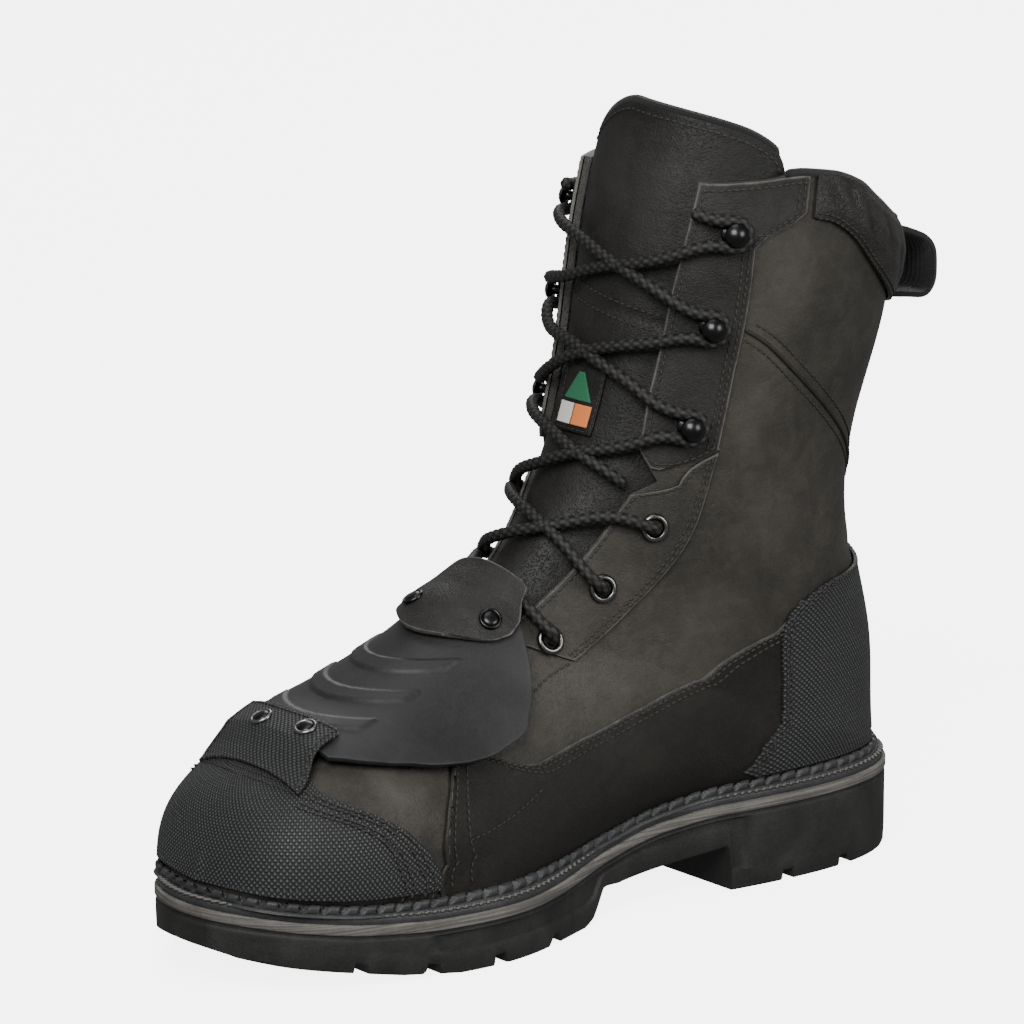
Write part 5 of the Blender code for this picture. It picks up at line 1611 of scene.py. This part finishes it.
@dataclass
class Tongue:
    """Padded tongue with a bound edge, a cross seam and a plain woven tag."""

    half_width: Table = ((0.0, 0.415), (0.9, 0.400), (2.5, 0.345), (6.0, 0.320), (9.0, 0.270), (12.6, 0.200))
    top: Table = ((0.0, 0.08), (0.175, 0.15), (0.30, 0.25), (0.36, 0.36), (0.40, 0.52), (0.415, 0.72))
    thick: float = 3.5

    def lift(self, turn: Array, row: Array) -> Array:
        """Outer face over the upper's: tucked under the facings, swelling between them."""
        side = np.abs(turn) / (between(THROAT, row) * 0.9 + 0.001)
        swell = 1.9 * np.clip(1.0 - side ** 2, 0.0, 1.0) * np.interp(row, (0.0, 7.5, 9.0), (1.0, 1.0, 0.0))
        seam = 0.9 * np.exp(-((row - 3.15 - 1.0 * turn) / 0.05) ** 2)
        flat = np.interp(row, (0.3, 0.9), (0.25, 1.0))
        return -(LEATHER + 1.0) + swell * flat - np.interp(row, (9.3, 10.4), (0.0, 0.8)) - seam

    def tag(self) -> None:
        """Woven tag: a dark ground with a green patch above two light ones."""
        ground = ((4.16, 5.24), (-0.062, 0.085), 0.0, FACING, "tag_ground", ["tongue_label"])
        patches = [ground,
                   ((4.24, 4.70), (-0.040, 0.062), 0.55, Plain("green patch", (0.012, 0.105, 0.048)),
                    "tag_green", []),
                   ((4.76, 5.12), (-0.048, 0.006), 0.55, Plain("pale patch", (0.52, 0.50, 0.46)),
                    "tag_pale", []),
                   ((4.76, 5.12), (0.012, 0.068), 0.55, Plain("orange patch", (0.62, 0.17, 0.04)),
                    "tag_orange", [])]
        for rows, turns, extra, look, name, nodes in patches:
            row = np.linspace(*rows, 14)[:, None]
            turn = np.linspace(*turns, 14)[None, :]
            if name == "tag_green":
                taper = (row - rows[0]) / (rows[1] - rows[0])
                turn = 0.011 + (turn - 0.011) * (0.18 + 0.82 * taper)
            turn, row = np.broadcast_arrays(turn, row)
            low = self.lift(turn, row) + 0.6
            grid = Grid(face(turn, row, low + 0.8 + extra))
            block(name, grid, face(turn, row, low + (0.5 if extra else 0.0)), [look], nodes, 0.2)

    def build(self) -> None:
        """Build the tongue, its binding, its tag and its stitches."""
        share = np.linspace(-1.0, 1.0, 90)[None, :]
        rows = np.linspace(0.0, 11.6, 150)[:, None]
        turn = steady(self.half_width)(rows) * share
        start = steady(self.top)(np.abs(turn)) + 0.36 * np.clip(-turn / 0.17, 0.0, 1.0) ** 2
        row = rows + start * np.clip((0.9 - rows) / 0.9, 0.0, 1.0)
        lift = self.lift(turn, row)
        outer = Grid(face(turn, row, lift))
        # Tone lighter on the top middle of the tongue: a painted highlight.
        outer.values = {"tone": 0.1 + 0.25 * np.exp(-((row - 1.2) / 0.9) ** 2 - (turn / 0.14) ** 2),
                        "rim": np.zeros(row.shape)}
        inner = face(turn, row, lift - self.thick)
        made = block("tongue_leather", outer, inner, [TONGUE], ["tongue"], 0.9)
        edge = (outer.points[0] + inner[0]) / 2.0
        tube("tongue_binding", edge[2:-2], 1.9, [BINDING], 12)
        self.tag()
        thread = Thread("tongue_stitches")
        thread.on_grid(outer, Border.TOP, 3.4)
        for offset in (-0.12, 0.12):
            turns = np.linspace(-0.17, 0.19, 30)
            row = 3.15 + turns + offset
            line = face(turns, row, self.lift(turns, row))
            thread.row(line, outward_of(line))
        for turns, row in ((np.linspace(-0.058, 0.081, 12), np.full(12, 5.19)),
                           (np.full(12, -0.057), np.linspace(4.2, 5.2, 12)),
                           (np.full(12, 0.08), np.linspace(4.2, 5.2, 12))):
            line = face(turns, row, self.lift(turns, row) + 1.4)
            thread.row(line, outward_of(line), pitch=2.2, radius=0.3)
        thread.done()


# Guard.
@dataclass
class Guard:
    """Metatarsal guard: polymer plate with nested ribs, leather hinge flap and woven toe flap."""

    side: Table = ((9.90, 0.120), (10.4, 0.146), (10.8, 0.165), (11.83, 0.210), (13.0, 0.265), (13.83, 0.310),
                   (14.38, 0.335), (14.88, 0.335), (15.35, 0.320), (15.78, 0.295), (16.23, 0.260),
                   (16.85, 0.217), (17.3, 0.170))
    flap_side: Table = ((9.00, 0.108), (9.06, 0.120), (9.2, 0.128), (9.6, 0.132), (10.1, 0.143),
                        (10.8, 0.160), (11.4, 0.168), (11.8, 0.160), (12.0, 0.143), (12.1, 0.115))
    flap_lift: Table = ((9.0, 7.2), (9.8, 8.4), (11.0, 8.6), (12.0, 7.5), (12.6, 6.9))
    flap_middle: float = 0.035
    toe_side: Table = ((16.68, 0.135), (16.78, 0.150), (17.05, 0.150), (17.4, 0.158), (17.85, 0.193),
                       (18.08, 0.205))
    toe_rows: tuple[float, ...] = (16.68, 17.35, 17.75, 18.0, 18.1)
    toe_lifts: tuple[float, ...] = (6.4, 6.1, 3.1, 1.8, 1.65)
    rib_starts: tuple[float, ...] = (44.0, 62.0, 80.0)
    rib_half: float = 3.4
    rib_height: float = 0.8

    def ribs(self, across: Array, along: Array) -> Array:
        """Height of the nested ribs, which bend toward the toe."""
        height = np.zeros(across.shape)
        for start in self.rib_starts:
            line = start - 0.016 * across ** 2
            band = 1.0 - ramp(np.abs(along - line), self.rib_half - 0.3, self.rib_half + 0.3)
            height = np.maximum(height, band * (1.0 - ramp(np.abs(across), 25.0, 26.0)))
        return self.rib_height * height

    def plate(self) -> None:
        """Polymer plate."""
        rows = np.linspace(9.95, 17.25, 136)[:, None]
        share = np.linspace(-1.0, 1.0, 111)[None, :]
        turn = steady(self.side)(rows) * share
        rows = np.broadcast_to(rows, turn.shape)
        side = np.abs(turn) / steady(self.side)(rows)
        lift = 2.9 + 2.8 * side ** 2 * np.interp(rows, (15.6, 16.4), (1.0, 0.2))
        flat = Grid(face(turn, rows, lift + 2.2))
        run = flat.unrolled()
        across = run[..., 0] - run[:, 55:56, 0]
        outer = Grid(face(turn, rows, lift + 2.2 + self.ribs(across, run[:, 55:56, 1])))
        # rim: painted highlight along the plate's edges.
        outer.values = {"rim": outer.rim(0.8), "tone": np.zeros(turn.shape)}
        block("guard_plate_polymer", outer, face(turn, rows, lift), [GUARD],
              ["guard_plate"], 0.6)

    def top_flap(self) -> Grid:
        """Leather flap over the hinge."""
        rows = np.linspace(9.0, 12.1, 70)[:, None]
        share = np.linspace(-1.0, 1.0, 60)[None, :]
        turn = self.flap_middle + (eased(self.flap_side, 0.08)(rows) - self.flap_middle) * share
        bow = 0.42 * (1.0 - share ** 2) * np.interp(rows, (9.0, 9.9, 11.0, 12.1), (-0.4, 0.0, 0.0, 1.0))
        row = rows + bow
        lift = steady(self.flap_lift)(row)
        lift = lift + 0.5 * np.exp(-((share - 0.5) / 0.25) ** 2) * ramp(row, 11.4, 12.1)
        outer = Grid(face(turn, row, lift + 1.9))
        # rim: painted highlight along the flap's edges.
        outer.values = {"rim": outer.rim(0.7), "tone": np.full(turn.shape, 0.2)}
        block("top_flap_leather", outer, face(turn, row, lift), [FACING], ["top_flap"], 0.5)
        return outer

    def toe_flap(self) -> Grid:
        """Woven flap over the guard's front."""
        rows = np.linspace(16.69, 18.08, 50)[:, None]
        turn = steady(self.toe_side)(rows) * np.linspace(-1.0, 1.0, 70)[None, :]
        rows = np.broadcast_to(rows, turn.shape)
        lift = np.interp(rows, self.toe_rows, self.toe_lifts) + 1.6 * np.maximum(turn, 0.0)
        outer = Grid(face(turn, rows, lift + 1.4))
        block("toe_flap_weave", outer, face(turn, rows, lift), [WEAVE], ["toe_flap"], 0.4)
        return outer

    def build(self) -> None:
        """Build the guard, its rivets and its stitches."""
        self.plate()
        self.top_flap()
        grid = self.toe_flap()
        thread = Thread("toe_flap_stitches")
        for border in (Border.START, Border.END):
            thread.on_grid(grid, border, 2.2, pitch=WOVEN_PITCH, radius=WOVEN_THREAD)
        thread.on_grid(grid, Border.TOP, 2.2, pitch=WOVEN_PITCH, radius=WOVEN_THREAD)
        thread.done()
        head = ((0.0, 1.3), (1.2, 1.28), (2.2, 1.1), (2.9, 0.7), (3.1, 0.2), (3.05, 0.0))
        rim = ((3.0, 0.0), (3.0, 0.5), (3.3, 0.85), (3.8, 0.8), (4.1, 0.4), (4.1, 0.0))
        spots = (("guard_rivet_medial", 0.126, 11.15), ("guard_rivet_lateral", -0.035, 11.45))
        for name, turn, row in spots:
            where = frame_at(turn, row, float(steady(self.flap_lift)(np.array(row))) + 1.9 + 0.2)
            turned(f"{name}_head", head, where, [GUNMETAL], [name])
            turned(f"{name}_rim", rim, where, [GUNMETAL], [])
        for name, turn, row in (("toe_rivet_medial", 0.086, 17.05), ("toe_rivet_lateral", -0.050, 17.18)):
            lift = float(np.interp(row, self.toe_rows, self.toe_lifts)) + 1.6 * max(turn, 0.0) + 1.6
            where = frame_at(turn, row, lift)
            turned(f"{name}_head", head, where, [GUNMETAL], [name])
            turned(f"{name}_rim", rim, where, [SILVER], [])


def turned(name: str, profile: Sequence[tuple[float, float]], where: Matrix, looks: Sequence[Any],
           nodes: Sequence[str], steps: int = 32) -> Any:
    """Turned piece from a profile of (radius, height) in mm."""
    curve = np.array(profile, float)
    angles = 2.0 * pi * np.arange(steps + 1) / steps
    rings = np.stack([np.stack([curve[:, 0] * cos(a), curve[:, 0] * sin(a), curve[:, 1]], -1)
                      for a in angles], 1)
    flat = rings.reshape(-1, 3) * MM
    world = np.array(where)
    points = flat @ world[:3, :3].T + world[:3, 3]
    rows, columns = rings.shape[:2]
    mesh = mesh_of(name, points / MM - (HEEL_BACK, 0.0, 0.0), grid_faces(rows, columns), join=0.005)
    face_out(mesh)
    return finish_piece(name, mesh, looks, nodes)


# Lacing.
HOOKS = (("top", 1.70, 0.305), ("middle", 3.25, 0.290), ("low", 4.80, 0.295))
EYELETS = (("ankle", 6.70, 0.285), ("instep", 8.38, 0.240), ("lower", 10.60, 0.212))
HARDWARE_LIFT = 1.95
LACE_RUNS = (
    (("edge", 0.225, 1.38, 4.6), ("hook", "top", 1), ("fall", 0.20, 2.22, 4.2), ("cross", 0.12, 2.46, 2.8),
     ("ridge", 0.02, 2.64, 2.4), ("far", -0.09, 2.88, 3.0), ("rise", -0.195, 3.00, 5.4),
     ("hook", "middle", -1), ("fall", -0.17, 3.68, 4.2), ("cross", -0.02, 3.84, 2.4),
     ("ridge", 0.07, 4.02, 2.5), ("near", 0.17, 4.30, 3.2), ("rise", 0.215, 4.48, 4.4), ("hook", "low", 1),
     ("fall", 0.19, 5.26, 3.6), ("cross", 0.07, 5.60, 2.6), ("ridge", -0.03, 5.92, 2.5),
     ("far", -0.13, 6.20, 3.2), ("end", -0.20, 6.45, 4.4), ("over", -0.262, 6.62, 5.0),
     ("in", -0.285, 6.70, 2.4)),
    (("edge", -0.225, 1.38, 4.6), ("hook", "top", -1), ("fall", -0.17, 2.06, 4.4),
     ("cross", -0.07, 2.22, 2.6), ("ridge", 0.035, 2.45, 2.5), ("near", 0.14, 2.70, 3.2),
     ("rise", 0.205, 2.90, 5.0), ("hook", "middle", 1), ("fall", 0.20, 3.56, 3.9), ("cross", 0.12, 3.72, 2.8),
     ("ridge", 0.02, 3.92, 2.4), ("far", -0.10, 4.25, 2.8), ("rise", -0.21, 4.55, 4.4), ("hook", "low", -1),
     ("fall", -0.17, 5.08, 4.5), ("cross", -0.05, 5.28, 2.5), ("ridge", 0.04, 5.48, 2.5),
     ("near", 0.12, 5.68, 2.5), ("end", 0.17, 5.82, 2.2), ("under", 0.21, 5.98, 0.4)),
    (("in", 0.286, 6.70, 1.6), ("out", 0.284, 6.695, 4.6), ("eyelet", 0.262, 6.66, 6.3),
     ("edge", 0.20, 6.68, 5.0), ("near", 0.13, 7.02, 3.2), ("ridge", 0.03, 7.50, 2.6),
     ("far", -0.08, 7.92, 3.0), ("edge", -0.17, 8.18, 4.9), ("end", -0.215, 8.32, 6.3),
     ("in", -0.24, 8.38, 2.4)),
    (("in", 0.213, 10.60, 1.6), ("out", 0.2125, 10.59, 4.8), ("eyelet", 0.205, 10.48, 7.2),
     ("edge", 0.180, 9.98, 5.8), ("near", 0.143, 9.58, 4.4), ("ridge", 0.04, 9.28, 3.2),
     ("far", -0.09, 8.92, 3.6), ("edge", -0.165, 8.60, 5.2), ("end", -0.207, 8.38, 6.3),
     ("in", -0.236, 8.38, 3.0)),
    (("in", -0.286, 6.70, 1.6), ("eyelet", -0.262, 6.66, 6.3), ("edge", -0.20, 6.68, 5.0),
     ("far", -0.10, 6.80, 3.2), ("ridge", 0.0, 7.02, 2.6), ("cross", 0.07, 7.24, 2.8),
     ("near", 0.15, 7.66, 4.2), ("edge", 0.19, 8.00, 5.1), ("end", 0.220, 8.26, 6.0),
     ("in", 0.2395, 8.37, 3.6), ("under", 0.2405, 8.385, 1.4)),
)
ROUND_HOOK = ((-0.95, -0.9), (-0.86, 0.56), (0.0, 1.05), (0.86, 0.56), (0.95, -0.9))


@dataclass
class Lacing:
    """Hooks, eyelets and the round braided lace."""

    radius: float = 2.1
    plait: float = 7.2
    hook_turn: float = 4.7
    hook_rise: float = 3.9

    def path(self, run: Sequence[tuple[Any, ...]]) -> Array:
        """Centre line of a run, in mm from the back of the heel."""
        rows = {name: (row, girth) for name, row, girth in HOOKS}
        points = []
        for item in run:
            if item[0] != "hook":
                points.append(face(*item[1:]))
                continue
            row, girth = rows[item[1]]
            foot = frame_at(item[2] * girth, row, HARDWARE_LIFT)
            for down, back in ROUND_HOOK:
                spot = foot @ Vector((down * self.hook_turn * MM, back * self.hook_turn * item[2] * MM,
                                      self.hook_rise * MM))
                points.append(np.array(spot) / MM - (HEEL_BACK, 0.0, 0.0))
        return smooth_path(np.array(points), 0.65)

    def braid(self, angle: Array, run: Array) -> Array:
        """Height of the plaits, 0 to 1."""
        twist = 2.0 * pi * run / self.plait
        return np.abs(np.sin(2.0 * angle + twist)) ** 0.8 * np.abs(np.sin(2.0 * angle - twist)) ** 0.8

    def lace(self) -> None:
        """Lace, run through the eyelets and round the hooks."""
        paths = [self.path(run) for run in LACE_RUNS]
        points, faces, tones, flat = tube_mesh(paths, self.radius, 24, self.braid)
        mesh = mesh_of("lace_braid", points, faces, flat, {"tone": tones})
        length = sum(np.linalg.norm(np.diff(path, axis=0), axis=1).sum() for path in paths)
        log.info("lace shown: %.0f mm", length)
        finish_piece("lace_braid", mesh, [LACE], ["lace"])

    def build(self) -> None:
        """Build the hooks, the eyelets and the lace."""
        hook = ((0.0, 9.0), (1.1, 8.88), (2.2, 8.5), (3.2, 7.9), (4.0, 7.1), (4.4, 6.7), (4.2, 6.5),
                (3.2, 6.4), (2.1, 6.3), (1.8, 5.4), (1.7, 1.4), (2.2, 0.85), (3.8, 0.7), (4.2, 0.4),
                (4.2, 0.0))
        ring = ((3.05, -0.6), (2.95, 0.4), (3.1, 1.05), (3.7, 1.4), (4.4, 1.3), (5.0, 0.8), (5.2, 0.1),
                (5.1, -0.3))
        hole = ((0.0, 0.25), (3.1, 0.25), (3.1, -0.5))
        for side in Side:
            where = side.name.lower()
            for place, row, girth in HOOKS:
                turned(f"hook_{place}_{where}_turned", hook, frame_at(side.value * girth, row, HARDWARE_LIFT),
                       [GUNMETAL], [f"hook_{place}_{where}"])
            for place, row, girth in EYELETS:
                spot = frame_at(side.value * girth, row, HARDWARE_LIFT + 0.1)
                turned(f"eyelet_{place}_{where}_ring", ring, spot, [NICKEL],
                       [f"eyelet_{place}_{where}"])
                # Dark disc inside the ring: painted shade in place of the eyelet's hole.
                turned(f"eyelet_{place}_{where}_hole", hole, spot, [HOLE_SHADE], [])
        self.lace()


@dataclass
class PullLoop:
    """Ribbed webbing loop behind the collar."""

    ribs: int = 11
    path: tuple[tuple[float, float], ...] = (
        (1.0, 226.0), (-4.0, 225.5), (-10.0, 223.5), (-17.0, 220.0), (-20.3, 216.0), (-21.3, 209.0),
        (-20.3, 202.0), (-17.0, 198.6), (-10.0, 198.6), (-3.0, 199.6), (2.6, 200.4))

    def build(self) -> None:
        """Build the loop."""
        line = smooth_path(np.array([(x, 0.0, z) for x, z in self.path]), 0.55)
        way = np.gradient(line, axis=0)
        way /= np.linalg.norm(way, axis=1)[:, None]
        out = np.cross((0.0, 1.0, 0.0), way)
        width = np.linspace(-12.5, 12.5, 100)
        run = np.arange(len(line))[:, None] * 0.55
        rib = 0.24 * np.abs(np.sin(pi * self.ribs * (width[None, :] / 25.0 + 0.5)))
        rib = rib * (0.75 + 0.25 * np.sin(2.0 * pi * run / 1.8))
        ends = np.minimum(np.arange(len(line)), np.arange(len(line))[::-1])[:, None]
        bow = 1.2 * (width[None, :] / 12.5) ** 2 * np.clip(1.0 - ends / 6.0, 0.0, 1.0)
        points = line[:, None, :] + np.zeros((1, 100, 3))
        points = points - out[:, None, :] * (rib - 0.2)[..., None]
        points[..., 0] += bow
        points[..., 1] += width[None, :]
        grid = Grid(points[:, ::-1])
        sheet("pull_loop_webbing", [grid], 2.0, [WEBBING], ["pull_loop"], 0.01, 0.4)


@dataclass
class Studio:
    """Pale floor, soft lights and the camera of the photograph."""

    target: tuple[float, float, float] = (0.112868924, -0.006708529, 0.140317609)
    turn: float = 0.666609428
    rise: float = 0.238389456
    distance: float = 2.41800344
    lens: float = 242.283
    floor_glow: float = 4.9
    sky: float = 0.28

    def camera(self) -> None:
        """Camera at the photograph's angle."""
        way = Vector((cos(self.rise) * sin(self.turn), cos(self.rise) * cos(self.turn), sin(self.rise)))
        data = bpy.data.cameras.new("photo camera")
        data.lens, data.sensor_width = self.lens, 36.0
        data.clip_end = 100.0
        made = bpy.data.objects.new("photo camera", data)
        made.location = Vector(self.target) + way * self.distance
        made.rotation_euler = way.to_track_quat("Z", "Y").to_euler()
        bpy.context.scene.collection.objects.link(made)
        bpy.context.scene.camera = made

    def light(self, name: str, where: Sequence[float], size: float, power: float) -> None:
        """Soft square light aimed at the boot."""
        data = bpy.data.lights.new(name, "AREA")
        data.energy, data.size = power, size
        made = bpy.data.objects.new(name, data)
        made.location = Vector(where)
        made.rotation_euler = (made.location - Vector(self.target)).to_track_quat("Z", "Y").to_euler()
        bpy.context.scene.collection.objects.link(made)

    def build(self) -> None:
        """Build the floor, the lights and the camera."""
        mesh = bpy.data.meshes.new("floor")
        far = 14.0
        mesh.from_pydata([(-far, -far, 0.0), (far, -far, 0.0), (far, far, 0.0), (-far, far, 0.0)], [],
                         [(0, 1, 2, 3)])
        floor = bpy.data.objects.new("floor", mesh)
        paint = Paint("pale floor", (0.80, 0.80, 0.80), 0.9, Specular_IOR_Level=0.0,
                      Emission_Color=(1.0, 1.0, 1.0, 1.0), Emission_Strength=self.floor_glow)
        mesh.materials.append(paint.material)
        bpy.context.scene.collection.objects.link(floor)
        floor.visible_glossy = floor.visible_diffuse = False
        world = bpy.data.worlds.new("studio")
        world.use_nodes = True
        world.node_tree.nodes["Background"].inputs["Color"].default_value = (1.0, 1.0, 1.0, 1.0)
        world.node_tree.nodes["Background"].inputs["Strength"].default_value = self.sky
        bpy.context.scene.world = world
        self.light("key", (1.45, 1.15, 1.45), 1.2, 66.0)
        self.light("top", (0.1, 0.0, 2.3), 1.2, 12.0)
        self.light("heel side", (-0.6, 1.9, 0.8), 1.0, 26.0)
        self.light("back", (-1.4, -1.4, 1.5), 1.4, 24.0)
        self.camera()


def dress(frame: dict[str, Any], name: str, look: Any) -> None:
    """Give a node of the frame its finish."""
    node = frame["nodes"][name]
    node.data.materials.clear()
    node.data.materials.append(bpy.data.materials.get(look.name) or look.material())
    log.info("dressed %s", name)


def main() -> None:
    """Build the boot piece by piece."""
    logging.basicConfig(level=logging.INFO, format="%(name)s %(message)s")
    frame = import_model()
    dress(frame, "insole", Plain("insole board", (0.05, 0.045, 0.04), 0.9))
    for part in (Outsole(), Welt(), Upper(), ToeCap(), HeelCounter(), HookFacing(), Eyestay(), CollarPad(),
                 Tongue(), Guard(), Lacing(), PullLoop(), Studio()):
        log.info("building %s", type(part).__name__)
        part.build()


if __name__ == "__main__":
    main()
